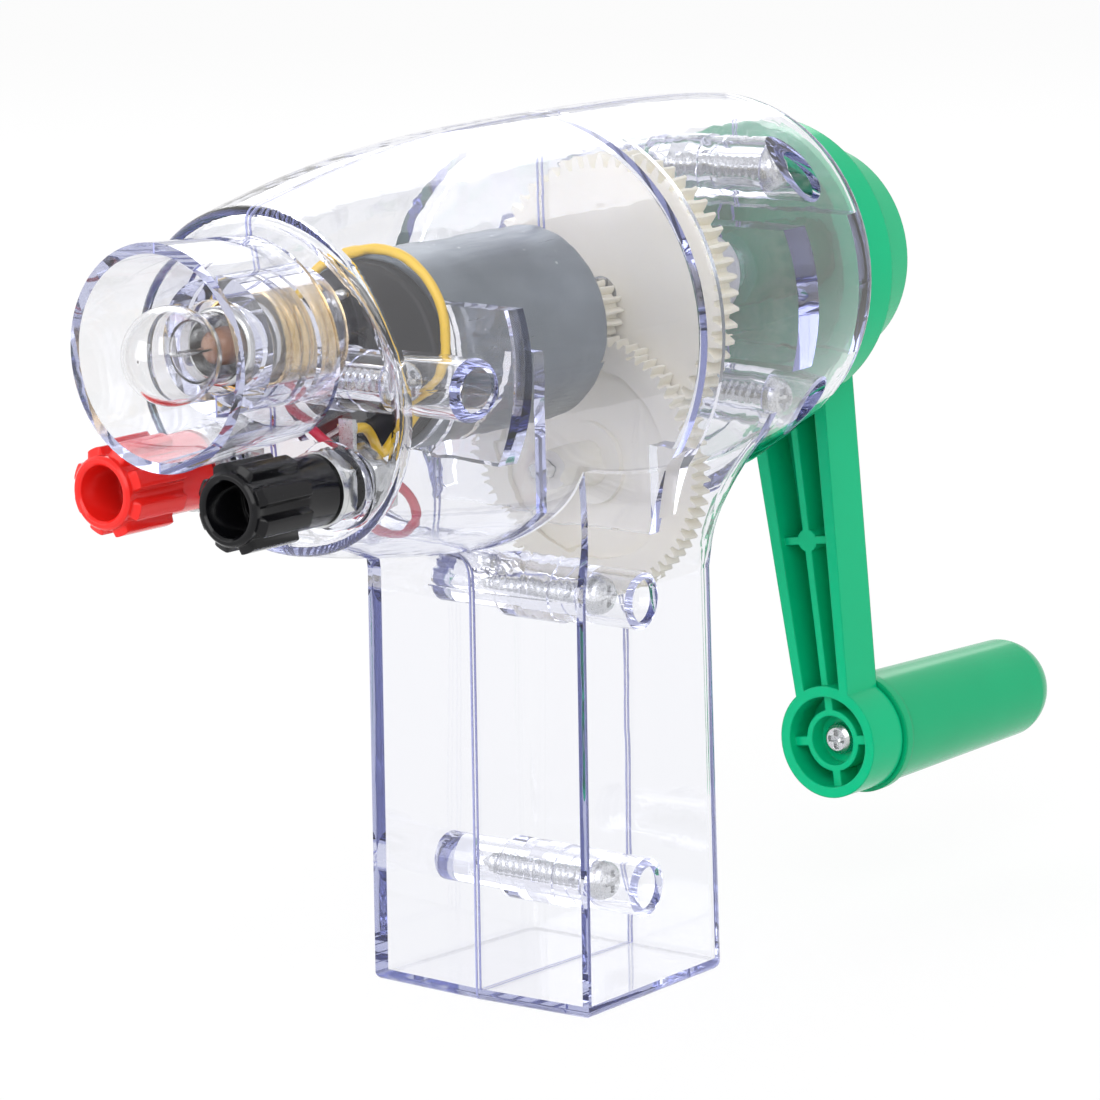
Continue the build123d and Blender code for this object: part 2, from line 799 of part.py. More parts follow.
def grip():
    """The green handgrip: a flange, a tapered barrel and a rounded end."""
    rear = grip_front - grip_length
    grip_dome = (grip_end_round ** 2 + grip_tip_radius ** 2) / (2 * grip_end_round)
    dome_angle = acos(1 - grip_end_round / grip_dome)
    with BuildPart() as handle:
        with BuildSketch(Plane(origin=(0, grip_y, grip_height), x_dir=(1, 0, 0), z_dir=(0, -1, 0))):
            with BuildLine():
                Polyline(
                    (grip_front, 0),
                    (grip_front, grip_flange_radius),
                    (grip_front - grip_flange_thick, grip_flange_radius),
                    (grip_front - grip_flange_thick, grip_root_radius),
                    (rear + grip_end_round, grip_tip_radius),
                )
                ThreePointArc(
                    (rear + grip_end_round, grip_tip_radius),
                    (rear + grip_dome * (1 - cos(dome_angle / 2)), grip_dome * sin(dome_angle / 2)),
                    (rear, 0),
                )
                Line((rear, 0), (grip_front, 0))
            make_face()
        revolve(axis=Axis((0, grip_y, grip_height), (1, 0, 0)))
        add(rod(grip_front - grip_screw_length, grip_front + 1, grip_screw_radius + fixed_gap,
                grip_y, grip_height), mode=Mode.SUBTRACT)
    return handle.part


def grip_screw():
    """The long screw that holds the grip and turns with it in the ring's boss."""
    seat = arm_front - ring_boss_setback - ring_recess_depth + 0.12
    with BuildPart() as screw:
        add(rod(grip_front - grip_screw_length + 0.5, seat, grip_screw_radius, grip_y, grip_height))
        add(rod(seat, seat + grip_screw_head_thick, grip_screw_head, grip_y, grip_height))
        fillet(screw.faces().sort_by(Axis.X)[-1].edges(), 0.6)
    return screw.part


def crank_screw():
    """The screw in the middle of the dome that holds the crank on its shaft."""
    seat = dome_rear + 2.4
    with BuildPart() as screw:
        add(rod(seat, seat + 9.0, 1.5, 0, crank_height))
        add(rod(seat - 1.6, seat, 2.8, 0, crank_height))
        fillet(screw.faces().sort_by(Axis.X)[0].edges(), 0.6)
    return screw.part


def crank_shaft():
    """The steel shaft through both bearing bars, with a threaded end for the crank screw."""
    with BuildPart() as shaft:
        add(rod(dome_rear + 5.3, crank_gear_front, crank_shaft_radius, 0, crank_height))
        add(rod(dome_rear + 5.0, dome_rear + 12.4, 1.5 + fixed_gap, 0, crank_height), mode=Mode.SUBTRACT)
    return shaft.part


def crank_bush(bar_x, flange_x):
    """A nylon bush in one bearing bar, its flange against the bar's gear side."""
    with BuildPart() as bush:
        add(rod(bar_x, bar_x + bar_width, crank_bush_radius, 0, crank_height))
        add(rod(flange_x, flange_x + crank_bush_flange_thick, crank_bush_flange, 0, crank_height))
        add(rod(bar_x - 2, bar_x + bar_width + 2, crank_shaft_radius + running, 0, crank_height),
            mode=Mode.SUBTRACT)
    return bush.part


# ------------------------------------------------------------------ motor
def motor_can():
    """The drawn steel can, open towards the end cap, with its bearing boss."""
    with BuildPart() as can:
        add(rod(motor_rear, can_front, motor_radius, 0, motor_height))
        fillet(can.faces().sort_by(Axis.X)[0].edges(), can_corner)
        add(rod(motor_rear + can_wall, can_front, motor_radius - can_wall, 0, motor_height),
            mode=Mode.SUBTRACT)
        add(rod(motor_rear - motor_boss_length, motor_rear + can_wall, motor_boss_radius, 0, motor_height))
        add(rod(motor_rear - 5, motor_rear + 5, 2.0 + fixed_gap, 0, motor_height), mode=Mode.SUBTRACT)
    return can.part


def motor_bush(x_from, x_to):
    """A sintered bronze bearing of the motor shaft."""
    return tube(x_from, x_to, 2.0, motor_shaft_radius + running, 0, motor_height)


def motor_end_cap():
    """The black end cap: a plug in the can, a shoulder and a small bearing boss."""
    plug = motor_radius - can_wall - fixed_gap
    with BuildPart() as cap:
        add(rod(can_front - 3.0, can_front, plug, 0, motor_height))
        add(rod(can_front, can_front + cap_thick, cap_radius, 0, motor_height))
        fillet(cap.faces().sort_by(Axis.X)[-1].edges(), 0.5)
        add(rod(can_front + cap_thick, can_front + cap_thick + cap_boss_length, cap_boss_radius,
                0, motor_height))
        add(rod(can_front - 4, can_front + cap_thick, 2.0 + fixed_gap, 0, motor_height),
            mode=Mode.SUBTRACT)
        for side in (1, -1):
            add(terminal_block(side, fixed_gap), mode=Mode.SUBTRACT)
    return cap.part


def terminal_block(side, grow):
    """A flat blade through the end cap, above or below its boss, drawn out by grow."""
    height = motor_height + side * terminal_spread
    return block(can_front - 3.6 - grow, can_front + cap_thick + terminal_length + grow,
                 -1.1 - grow, 1.1 + grow, height - 0.25 - grow, height + 0.25 + grow)


def motor_magnet(side):
    """One curved field magnet against the can's wall."""
    outer = motor_radius - can_wall - fixed_gap
    middle = motor_rear + 4.0
    with BuildPart() as magnet:
        add(tube(middle, middle + magnet_length, outer, outer - magnet_thick, 0, motor_height))
        half = 90 - magnet_gap / 2
        reach = 2 * outer
        with BuildSketch(along_x(middle, 0, motor_height)):
            with BuildLine():
                Polyline(
                    (0, 0),
                    (side * reach * cos(radians(half)), reach * sin(radians(half))),
                    (side * reach, reach * sin(radians(half))),
                    (side * reach, -reach * sin(radians(half))),
                    (side * reach * cos(radians(half)), -reach * sin(radians(half))),
                    close=True,
                )
            make_face()
        extrude(amount=magnet_length, mode=Mode.INTERSECT)
    return magnet.part


def armature():
    """The three-pole laminated core on the motor shaft."""
    start = motor_rear + 6.5
    with BuildPart() as core:
        with BuildSketch(along_x(start, 0, motor_height)):
            Circle(armature_radius)
            Circle(armature_radius - 1.3, mode=Mode.SUBTRACT)
            with PolarLocations(armature_radius, pole_count, start_angle=60):
                Rectangle(3.2, 2.2, mode=Mode.SUBTRACT)
            with PolarLocations(armature_radius / 2, pole_count):
                Rectangle(armature_radius - 0.4, 2.6)
            Circle(2.6)
            Circle(motor_shaft_radius + 0.01, mode=Mode.SUBTRACT)
        extrude(amount=armature_length)
    return core.part


def commutator():
    """The copper commutator beside the core."""
    start = motor_rear + 6.5 + armature_length + 1.5
    return tube(start, start + 3.2, 2.2, motor_shaft_radius + 0.01, 0, motor_height)


# ------------------------------------------------------------------ lamp
def lamp_glass():
    """The round glass globe with its neck, blown thin."""
    with BuildPart() as globe:
        with BuildSketch(Plane(origin=(0, 0, lamp_height), x_dir=(1, 0, 0), z_dir=(0, -1, 0))):
            with BuildLine():
                neck_x = globe_x - (globe_radius ** 2 - neck_radius ** 2) ** 0.5
                CenterArc((globe_x, 0), globe_radius, 0, 180 - 44.5)
                edge = (globe_x + globe_radius * cos(radians(135.5)), globe_radius * sin(radians(135.5)))
                Polyline(edge, (lamp_cap_front - 4, neck_radius), (lamp_cap_front - 4, 0),
                         (globe_x + globe_radius, 0))
            make_face()
        revolve(axis=Axis((0, 0, lamp_height), (1, 0, 0)))
        offset(amount=-globe_wall, openings=globe.faces().sort_by(Axis.X)[0])
    return globe.part


def lamp_cap():
    """The lamp's threaded cap, a thin cup with a crimped front edge."""
    with BuildPart() as cap:
        add(rod(lamp_cap_rear, lamp_cap_front, lamp_cap_radius, 0, lamp_height))
        fillet(cap.faces().sort_by(Axis.X)[0].edges(), 1.2)
        offset(amount=-lamp_cap_wall, openings=cap.faces().sort_by(Axis.X)[-1])
        add(rod(lamp_cap_rear - 1, lamp_cap_rear + 1, 2.0, 0, lamp_height), mode=Mode.SUBTRACT)
    return cap.part


def lamp_tip():
    """Black insulator and solder tip at the lamp's rear."""
    with BuildPart() as tip:
        add(cone(lamp_tip_rear + 0.6, 1.3, lamp_cap_rear, 1.95, lamp_height))
        add(rod(lamp_tip_rear, lamp_tip_rear + 0.6, 1.1, 0, lamp_height))
        add(rod(lamp_cap_rear, lamp_cap_rear + lamp_cap_wall, 1.95, 0, lamp_height))
    return tip.part


def lamp_stem():
    """The glass bead and the two wires that carry the filament."""
    with BuildPart() as stem:
        add(rod(lamp_cap_rear + lamp_cap_wall, lamp_cap_front + 1.5, 1.1, 0, lamp_height))
        for side in (1, -1):
            add(rod(lamp_cap_front + 1.0, globe_x - 0.8, 0.2, side * 0.75, lamp_height))
        add(block(globe_x - 1.0, globe_x - 0.6, -0.95, 0.95, lamp_height - 0.15, lamp_height + 0.15))
    return stem.part


def socket_shell():
    """The brass screw shell of the lamp socket, with a solder tab behind the tube."""
    outer = socket_bore - fixed_gap
    tab_y = -outer + 0.12
    with BuildPart() as shell:
        add(tube(shell_rear, shell_front, outer, lamp_cap_radius + fixed_gap, 0, lamp_height))
        add(block(socket_rear - 0.5, shell_rear + 1.2, tab_y, tab_y + 0.4,
                  lamp_height - 0.6, lamp_height + 0.6))
        add(block(socket_rear - 1.9, socket_rear - 0.4, tab_y, tab_y + 0.4,
                  lamp_height - shell_tab_height / 2, lamp_height + shell_tab_height / 2))
    return shell.part


def lamp_contact():
    """The bronze strip behind the lamp, pressed on its tip, with a tail for the red lead."""
    with BuildPart() as strip:
        add(block(contact_x, contact_x + contact_thick, -1.4, 1.4, 82.2, lamp_height + 1.5))
        add(block(contact_x, contact_x + contact_thick, -3.3, -1.1, 80.4, 84.0))
        add(rod(contact_x, lamp_tip_rear - 0.02, 1.2, 0, lamp_height))
    return strip.part


# ------------------------------------------------------------------ binding posts
def post_stud(side):
    """Plated brass stud: threaded rear, hexagonal flange on the nose, 4 mm socket in front."""
    y = side * post_spread
    with BuildPart() as stud:
        add(rod(stud_rear, post_seat_x, stud_radius, y, post_height))
        with BuildSketch(along_x(post_seat_x, y, post_height)):
            RegularPolygon(hex_across / 2, 6, major_radius=False)
        extrude(amount=hex_flange)
        add(rod(post_seat_x + hex_flange, stud_front, stud_front_radius, y, post_height))
        chamfer(stud.faces().sort_by(Axis.X)[-1].edges(), 0.3)
        add(rod(stud_front - banana_depth, stud_front, banana_bore, y, post_height), mode=Mode.SUBTRACT)
    return stud.part


def clamp_washer(side):
    """The loose washer that the knob presses on the wire."""
    start = post_seat_x + hex_flange + 0.05
    return tube(start, start + clamp_washer_thick, clamp_washer_radius,
                stud_front_radius + running, side * post_spread, post_height)


def post_knob(side):
    """The moulded knob: smooth collar, eight flutes and a rounded lip round the mouth."""
    y = side * post_spread
    start = post_seat_x + hex_flange + clamp_washer_thick + 0.1
    flutes_from = start + knob_collar_length
    lip_from = knob_front - knob_lip
    with BuildPart() as knob:
        add(rod(start, flutes_from, knob_collar_radius, y, post_height))
        with BuildSketch(along_x(flutes_from, y, post_height)):
            Circle(knob_core_radius)
            with PolarLocations(knob_lobe_circle, knob_lobes):
                Circle(knob_lobe_radius)
        extrude(amount=lip_from - flutes_from)
        add(rod(lip_from, knob_front, knob_core_radius, y, post_height))
        chamfer(knob.faces().sort_by(Axis.X)[-1].edges(), 0.5)
        add(rod(start, knob_front, stud_front_radius + running, y, post_height), mode=Mode.SUBTRACT)
        add(rod(stud_front + 0.4, knob_front, knob_mouth, y, post_height), mode=Mode.SUBTRACT)
    return knob.part


def post_nut(side):
    """Hexagonal nut inside the nose, with the solder tag under it."""
    y = side * post_spread
    rear = post_seat_rear - tag_thick - nut_thick
    with BuildPart() as nut:
        with BuildSketch(along_x(rear, y, post_height)):
            RegularPolygon(nut_across / 2, 6, major_radius=False)
            Circle(stud_radius + 0.02, mode=Mode.SUBTRACT)
        extrude(amount=nut_thick)
    return nut.part


def solder_tag(side):
    """Tinned tag between the nut and the nose, its tail clear of the nut."""
    y = side * post_spread
    with BuildPart() as tag:
        with BuildSketch(along_x(post_seat_rear - tag_thick, y, post_height)):
            Circle(tag_radius)
            with Locations(Rotation(0, 0, tag_turns[side]) * Location((tag_tail / 2, 0))):
                Rectangle(tag_tail, tag_width)
            Circle(stud_radius + 0.02, mode=Mode.SUBTRACT)
        extrude(amount=tag_thick)
    return tag.part


# ------------------------------------------------------------------ leads
def lead(route, radius, name):
    """A round wire: straight runs joined by arcs as large as the runs allow."""
    points = [Vector(*point) for point in route]
    radii = []
    for before, here, after in zip(points, points[1:], points[2:]):
        first = here - before
        second = after - here
        turn = radians(first.get_angle(second))
        radii.append(0.45 * min(first.length, second.length) / tan(turn / 2))
    print(name, "least bend radius", round(min(radii), 1))
    with BuildPart() as cable:
        with BuildLine() as path:
            FilletPolyline(*points, radius=radii)
        centre_line = path.wires()[0]
        with BuildSketch(Plane(origin=centre_line @ 0, z_dir=centre_line % 0)):
            Circle(radius)
        sweep(path=centre_line)
    full_volume = centre_line.length * pi * radius ** 2
    print(name, "length", round(centre_line.length, 1), "volume ratio",
          round(cable.part.volume / full_volume, 4))
    return cable.part


# ------------------------------------------------------------------ write every piece
housing_parts = (outer_body(), inner_void(), bores())
save(half_shell(*housing_parts, 1), "left_housing")
save(half_shell(*housing_parts, -1), "right_housing")
save(Compound(children=[housing_screw(*place) for place in screw_places]), "housing_screws")

save(crank_gear(), "crank_gear")
save(idler_gear(), "idler_gear")
save(motor_pinion(), "motor_pinion")
save(rod(idler_web_x, bulkhead_front, idler_axle_radius, 0, idler_height), "idler_axle")
save(crank_shaft(), "crank_shaft")
front_bush = crank_bush(front_bar_x, front_bar_x + bar_width)
rear_bush = crank_bush(rear_bar_x, rear_bar_x + bar_width)
save(Compound(children=[front_bush, rear_bush]), "crank_bushes")
save(crank_arm(), "crank_arm")
save(crank_screw(), "crank_screw")
save(grip(), "grip")
save(grip_screw(), "grip_screw")

save(motor_can(), "motor_can")
save(motor_end_cap(), "motor_end_cap")
save(Compound(children=[terminal_block(1, 0), terminal_block(-1, 0)]), "motor_terminals")
save(Compound(children=[motor_magnet(1), motor_magnet(-1)]), "motor_magnets")
bush_rear = motor_bush(motor_rear - motor_boss_length, motor_rear + can_wall)
bush_front = motor_bush(can_front - 2.0, can_front + cap_thick)
save(Compound(children=[bush_rear, bush_front]), "motor_bushes")
save(rod(motor_pinion_rear, can_front + cap_thick - 0.4, motor_shaft_radius, 0, motor_height),
     "motor_shaft")
save(armature(), "armature")
save(commutator(), "commutator")

save(lamp_glass(), "lamp_glass")
save(lamp_cap(), "lamp_cap")
save(lamp_tip(), "lamp_tip")
save(lamp_stem(), "lamp_stem")
save(socket_shell(), "socket_shell")
save(lamp_contact(), "lamp_contact")

for side, colour in ((-1, "red"), (1, "black")):
    save(post_knob(side), f"{colour}_knob")
    save(clamp_washer(side), f"{colour}_clamp_washer")
    save(post_stud(side), f"{colour}_stud")
    save(post_nut(side), f"{colour}_nut")
    save(solder_tag(side), f"{colour}_tag")

save(lead(red_route, lead_radius, "red_lead"), "red_lead")
save(lead(yellow_route, lead_radius, "yellow_lead"), "yellow_lead")
upper_link = lead(upper_link_route, link_radius, "upper link")
lower_link = lead(lower_link_route, link_radius, "lower link")
save(Compound(children=[upper_link, lower_link]), "motor_links")
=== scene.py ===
"""Finishes, threads, leads and a plain studio for a hand crank generator in a clear housing."""

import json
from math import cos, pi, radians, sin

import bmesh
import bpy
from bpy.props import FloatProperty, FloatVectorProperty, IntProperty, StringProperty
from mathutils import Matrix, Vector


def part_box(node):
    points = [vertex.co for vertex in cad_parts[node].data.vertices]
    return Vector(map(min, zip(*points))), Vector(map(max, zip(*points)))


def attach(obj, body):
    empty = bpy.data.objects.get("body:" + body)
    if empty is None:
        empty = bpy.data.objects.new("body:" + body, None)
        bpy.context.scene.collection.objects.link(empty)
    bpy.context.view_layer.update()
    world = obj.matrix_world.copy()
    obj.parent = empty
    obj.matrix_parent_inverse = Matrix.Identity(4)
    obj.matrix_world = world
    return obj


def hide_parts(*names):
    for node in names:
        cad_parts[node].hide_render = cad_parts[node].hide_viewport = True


bl_info = {
    "name": "Hand crank generator",
    "version": (1, 0, 0),
    "blender": (4, 5, 0),
    "location": "View3D > Sidebar > Generator",
    "description": "Dresses the packed generator and sets up its studio",
    "category": "Object",
}

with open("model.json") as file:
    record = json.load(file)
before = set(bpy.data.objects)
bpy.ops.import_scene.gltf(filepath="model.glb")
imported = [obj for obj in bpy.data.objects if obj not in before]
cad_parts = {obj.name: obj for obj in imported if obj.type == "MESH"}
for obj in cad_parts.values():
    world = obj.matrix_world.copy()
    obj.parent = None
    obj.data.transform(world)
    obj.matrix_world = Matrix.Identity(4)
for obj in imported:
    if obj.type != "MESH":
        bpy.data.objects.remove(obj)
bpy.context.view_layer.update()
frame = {"nodes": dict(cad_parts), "record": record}

MM = 0.001
# The part's axes in millimetres: heights above the table, and the posts' distance from y = 0.
CRANK_HEIGHT = 85.5
LAMP_HEIGHT = 88.4
POST_HEIGHT = 71.7
POST_SPREAD = 9.7


# ------------------------------------------------------------------ colour and nodes
def linear(code):
    """Turn an sRGB hex value such as "1FA97B" into linear red, green, blue and alpha."""
    values = [int(code[i:i + 2], 16) / 255 for i in (0, 2, 4)]
    return tuple(v / 12.92 if v <= 0.04045 else ((v + 0.055) / 1.055) ** 2.4
                 for v in values) + (1.0,)


def add(tree, kind, settings=None, links=None):
    """Add a node, fill its properties and sockets, and link its inputs to (node, output) pairs."""
    node = tree.nodes.new(kind)
    for key, value in (settings or {}).items():
        if isinstance(key, int) or key in node.inputs:
            node.inputs[key].default_value = value
        else:
            setattr(node, key, value)
    for key, (source, output) in (links or {}).items():
        tree.links.new(source.outputs[output], node.inputs[key])
    return node


def new_material(name):
    """An empty node material and its tree."""
    material = bpy.data.materials.new(name)
    material.use_nodes = True
    material.node_tree.nodes.clear()
    return material, material.node_tree


def per_mm(size):
    """Texture scale at which one feature of a pattern is this many millimetres wide."""
    return 1000.0 / size


def looked_at(tree):
    """A value of 1 for the eye's rays, also through glass or by a reflection, and else 0."""
    path = add(tree, "ShaderNodeLightPath")
    direct = add(tree, "ShaderNodeMath", {"operation": "MAXIMUM"},
                 {0: (path, "Is Camera Ray"), 1: (path, "Is Transmission Ray")})
    return add(tree, "ShaderNodeMath", {"operation": "MAXIMUM"},
               {0: (direct, "Value"), 1: (path, "Is Glossy Ray")})


def moulded_plastic(name, colour, deep, roughness, ior, grain, edge,
                    cloud=0.35, depth=0.0, shine=0.5):
    """Injection-moulded plastic: slow colour drift, a fine skin from the tool, soft edges.

    The colour drifts towards deep by the share cloud. grain is the width of the skin's pattern and
    edge the radius of its edges, both in millimetres. depth is the share of light that enters, and
    shine how strongly the surface reflects.
    """
    material, tree = new_material(name)
    where = add(tree, "ShaderNodeTexCoord")
    drift = add(tree, "ShaderNodeTexNoise", {"Scale": per_mm(14.0), "Detail": 3.0},
                {"Vector": (where, "Object")})
    skin = add(tree, "ShaderNodeTexNoise", {"Scale": per_mm(grain), "Detail": 2.0},
               {"Vector": (where, "Object")})
    share = add(tree, "ShaderNodeMapRange",
                {"From Min": 0.3, "From Max": 0.7, "To Min": 0.0, "To Max": cloud},
                {"Value": (drift, "Fac")})
    tone = add(tree, "ShaderNodeMix", {"data_type": "RGBA", 6: linear(colour), 7: linear(deep)},
               {0: (share, "Result")})
    gloss = add(tree, "ShaderNodeMapRange",
                {"From Min": 0.3, "From Max": 0.7,
                 "To Min": roughness * 0.85, "To Max": roughness * 1.2},
                {"Value": (drift, "Fac")})
    round_edge = add(tree, "ShaderNodeBevel", {"samples": 4, "Radius": edge * MM})
    relief = add(tree, "ShaderNodeBump", {"Strength": 0.08, "Distance": 0.02 * MM},
                 {"Height": (skin, "Fac"), "Normal": (round_edge, "Normal")})
    shader = add(tree, "ShaderNodeBsdfPrincipled",
                 {"IOR": ior, "Specular IOR Level": shine, "Subsurface Weight": depth,
                  "Subsurface Radius": (1.0, 0.9, 0.7), "Subsurface Scale": 0.8 * MM},
                 {"Base Color": (tone, 2), "Roughness": (gloss, "Result"),
                  "Normal": (relief, "Normal")})
    add(tree, "ShaderNodeOutputMaterial", {}, {"Surface": (shader, "BSDF")})
    return material


def worked_metal(name, colour, tarnish, roughness, stretch, edge, metallic=1.0, specks=0.0):
    """Worked metal: fine marks drawn out along the working direction, and faint tarnish.

    stretch scales the marks along each axis, edge is the radius of the edges in millimetres, and
    specks is the share of white in the specks of dust.
    """
    material, tree = new_material(name)
    where = add(tree, "ShaderNodeTexCoord")
    drawn = add(tree, "ShaderNodeMapping", {"Scale": stretch}, {"Vector": (where, "Object")})
    marks = add(tree, "ShaderNodeTexNoise",
                {"Scale": per_mm(0.25), "Detail": 4.0, "Roughness": 0.6},
                {"Vector": (drawn, "Vector")})
    cloud = add(tree, "ShaderNodeTexNoise", {"Scale": per_mm(6.0), "Detail": 4.0},
                {"Vector": (where, "Object")})
    share = add(tree, "ShaderNodeMapRange", {"From Min": 0.35, "From Max": 0.7},
                {"Value": (cloud, "Fac")})
    tone = add(tree, "ShaderNodeMix", {"data_type": "RGBA", 6: linear(colour), 7: linear(tarnish)},
               {0: (share, "Result")})
    dots = add(tree, "ShaderNodeTexVoronoi", {"Scale": per_mm(2.6)}, {"Vector": (where, "Object")})
    dust = add(tree, "ShaderNodeMapRange",
               {"From Min": 0.05, "From Max": 0.09, "To Min": specks, "To Max": 0.0},
               {"Value": (dots, "Distance")})
    dusty = add(tree, "ShaderNodeMix", {"data_type": "RGBA", 7: linear("D8DADC")},
                {0: (dust, "Result"), 6: (tone, 2)})
    gloss = add(tree, "ShaderNodeMapRange",
                {"From Min": 0.3, "From Max": 0.7,
                 "To Min": roughness * 0.75, "To Max": roughness * 1.3},
                {"Value": (marks, "Fac")})
    round_edge = add(tree, "ShaderNodeBevel", {"samples": 4, "Radius": edge * MM})
    relief = add(tree, "ShaderNodeBump", {"Strength": 0.1, "Distance": 0.01 * MM},
                 {"Height": (marks, "Fac"), "Normal": (round_edge, "Normal")})
    shader = add(tree, "ShaderNodeBsdfPrincipled", {"Metallic": metallic},
                 {"Base Color": (dusty, 2), "Roughness": (gloss, "Result"),
                  "Normal": (relief, "Normal")})
    add(tree, "ShaderNodeOutputMaterial", {}, {"Surface": (shader, "BSDF")})
    return material


def clear_body(name, ior, roughness, absorbed, density, wave, shade):
    """A clear solid: refraction, slow waves of this height, and a tint that grows with thickness.

    absorbed and density are the colour and strength of the tint, and shade is what a shadow ray
    keeps at each surface.
    """
    material, tree = new_material(name)
    where = add(tree, "ShaderNodeTexCoord")
    flow = add(tree, "ShaderNodeTexNoise", {"Scale": per_mm(9.0), "Detail": 1.5},
               {"Vector": (where, "Object")})
    relief = add(tree, "ShaderNodeBump", {"Strength": 0.35, "Distance": wave * MM},
                 {"Height": (flow, "Fac")})
    shader = add(tree, "ShaderNodeBsdfPrincipled",
                 {"Base Color": (1, 1, 1, 1), "IOR": ior, "Roughness": roughness,
                  "Transmission Weight": 1.0},
                 {"Normal": (relief, "Normal")})
    # Light for the parts inside comes through the clear walls, so shadow rays pass them.
    path = add(tree, "ShaderNodeLightPath")
    passing = add(tree, "ShaderNodeBsdfTransparent", {"Color": linear(shade)})
    surface = add(tree, "ShaderNodeMixShader", {},
                  {0: (path, "Is Shadow Ray"), 1: (shader, "BSDF"), 2: (passing, "BSDF")})
    depth = add(tree, "ShaderNodeVolumeAbsorption", {"Color": linear(absorbed), "Density": density})
    add(tree, "ShaderNodeOutputMaterial", {},
        {"Surface": (surface, "Shader"), "Volume": (depth, "Volume")})
    return material


# ------------------------------------------------------------------ shapes
def turned(stations, place, sides=64, radius=None, lift=None, closed=False):
    """Vertices and faces of a body turned about an axis.

    stations are (distance along the axis, radius) pairs in millimetres. place maps (along,
    across, up) to the model. radius and lift may change each point by its angle.
    """
    vertices = []
    faces = []
    for along, reach in stations:
        for k in range(sides):
            angle = 2 * pi * k / sides
            r = radius(along, reach, angle) if radius else reach
            s = along + (lift(along, reach, angle) if lift else 0.0)
            vertices.append(place(s, r * cos(angle), r * sin(angle)))
    rings = len(stations)
    for i in range(rings if closed else rings - 1):
        here = i * sides
        after = ((i + 1) % rings) * sides
        for k in range(sides):
            k2 = (k + 1) % sides
            faces.append((here + k, here + k2, after + k2, after + k))
    if not closed:
        for i, (along, reach) in ((0, stations[0]), (rings - 1, stations[-1])):
            centre = len(vertices)
            s = along + (lift(along, 0.0, 0.0) if lift else 0.0)
            vertices.append(place(s, 0.0, 0.0))
            for k in range(sides):
                faces.append((i * sides + k, i * sides + (k + 1) % sides, centre))
    return vertices, faces


def along_x(x, y, z):
    """Place for a body whose axis runs along +X from a point."""
    return lambda s, across, up: ((x + s) * MM, (y + across) * MM, (z + up) * MM)


def along_y(x, y, z):
    """Place for a body whose axis runs along +Y from a point."""
    return lambda s, across, up: ((x + across) * MM, (y + s) * MM, (z + up) * MM)


def joined(*bodies):
    """One list of vertices and one of faces from several bodies."""
    vertices = []
    faces = []
    for points, loops in bodies:
        start = len(vertices)
        vertices.extend(points)
        faces.extend(tuple(start + index for index in loop) for loop in loops)
    return vertices, faces


def piece(name, shape, body, material, smooth_angle=35.0):
    """Make a mesh piece in the model's frame that rides on a body."""
    mesh = bpy.data.meshes.new(name)
    vertices, faces = shape
    mesh.from_pydata(vertices, [], faces)
    work = bmesh.new()
    work.from_mesh(mesh)
    bmesh.ops.remove_doubles(work, verts=work.verts, dist=1e-7)
    bmesh.ops.dissolve_degenerate(work, edges=work.edges, dist=1e-8)
    bmesh.ops.recalc_face_normals(work, faces=work.faces)
    work.to_mesh(mesh)
    work.free()
    mesh.shade_smooth()
    mesh.set_sharp_from_angle(angle=radians(smooth_angle))
    mesh.materials.append(material)
    result = bpy.data.objects.new(name, mesh)
    bpy.context.scene.collection.objects.link(result)
    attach(result, body)
    return result


def steps(start, end, count):
    """Evenly spaced numbers from start to end, both included."""
    return [start + (end - start) * i / count for i in range(count + 1)]


def helix(pitch, core, crest, share=0.5):
    """Radius of a thread: ridges that take up this share of the pitch."""
    def radius(along, reach, angle):
        phase = (along / pitch - angle / (2 * pi)) % 1.0
        ridge = max(0.0, 1.0 - abs(phase - 0.5) / (share / 2))
        return min(reach, core + (crest - core) * ridge)
    return radius


def hexagon(across):
    """Radius of a hexagon, cut down by each station's own radius at the corners."""
    def radius(along, reach, angle):
        within = (angle + pi / 6) % (pi / 3) - pi / 6
        return min(reach, across / 2 / cos(within))
    return radius


def fluted(crest, root, lobes):
    """Radius of a fluted grip: lobes and narrow grooves at the stations with the crest's radius."""
    groove, flank = 0.37, 0.14  # from a lobe's middle: start of the groove, and width of its flank

    def radius(along, reach, angle):
        if reach < crest - 0.01:
            return reach
        from_lobe = abs((angle * lobes / (2 * pi)) % 1.0 - 0.5)
        rise = max(0.0, min(1.0, (groove - from_lobe) / flank))
        return root + (crest - root) * rise * rise * (3 - 2 * rise)
    return radius


def cross_recess(head, radius_limit, half_width, depth):
    """Lift that sinks a cross-shaped driver recess into the flat of a screw head."""
    rim_rise = 0.45  # how much shallower the recess is at its outer end

    def lift(along, reach, angle):
        if abs(along - head) > 0.01 or reach > radius_limit:
            return 0.0
        if min(abs(reach * cos(angle)), abs(reach * sin(angle))) > half_width:
            return 0.0
        return -depth * (1.0 - rim_rise * reach / radius_limit)
    return lift


def smooth_lead(name, route, radius, material):
    """A wire as one smooth open curve through its route, with a round section."""
    curve = bpy.data.curves.new(name, "CURVE")
    curve.dimensions = "3D"
    spline = curve.splines.new("NURBS")
    spline.points.add(len(route) - 1)
    for point, (x, y, z) in zip(spline.points, route):
        point.co = (x * MM, y * MM, z * MM, 1.0)
    spline.order_u = 3
    spline.use_endpoint_u = True
    spline.resolution_u = 8
    curve.bevel_depth = radius * MM
    curve.bevel_resolution = 5
    curve.use_fill_caps = True
    curve.materials.append(material)
    result = bpy.data.objects.new(name, curve)
    bpy.context.scene.collection.objects.link(result)
    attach(result, "frame")
    return result


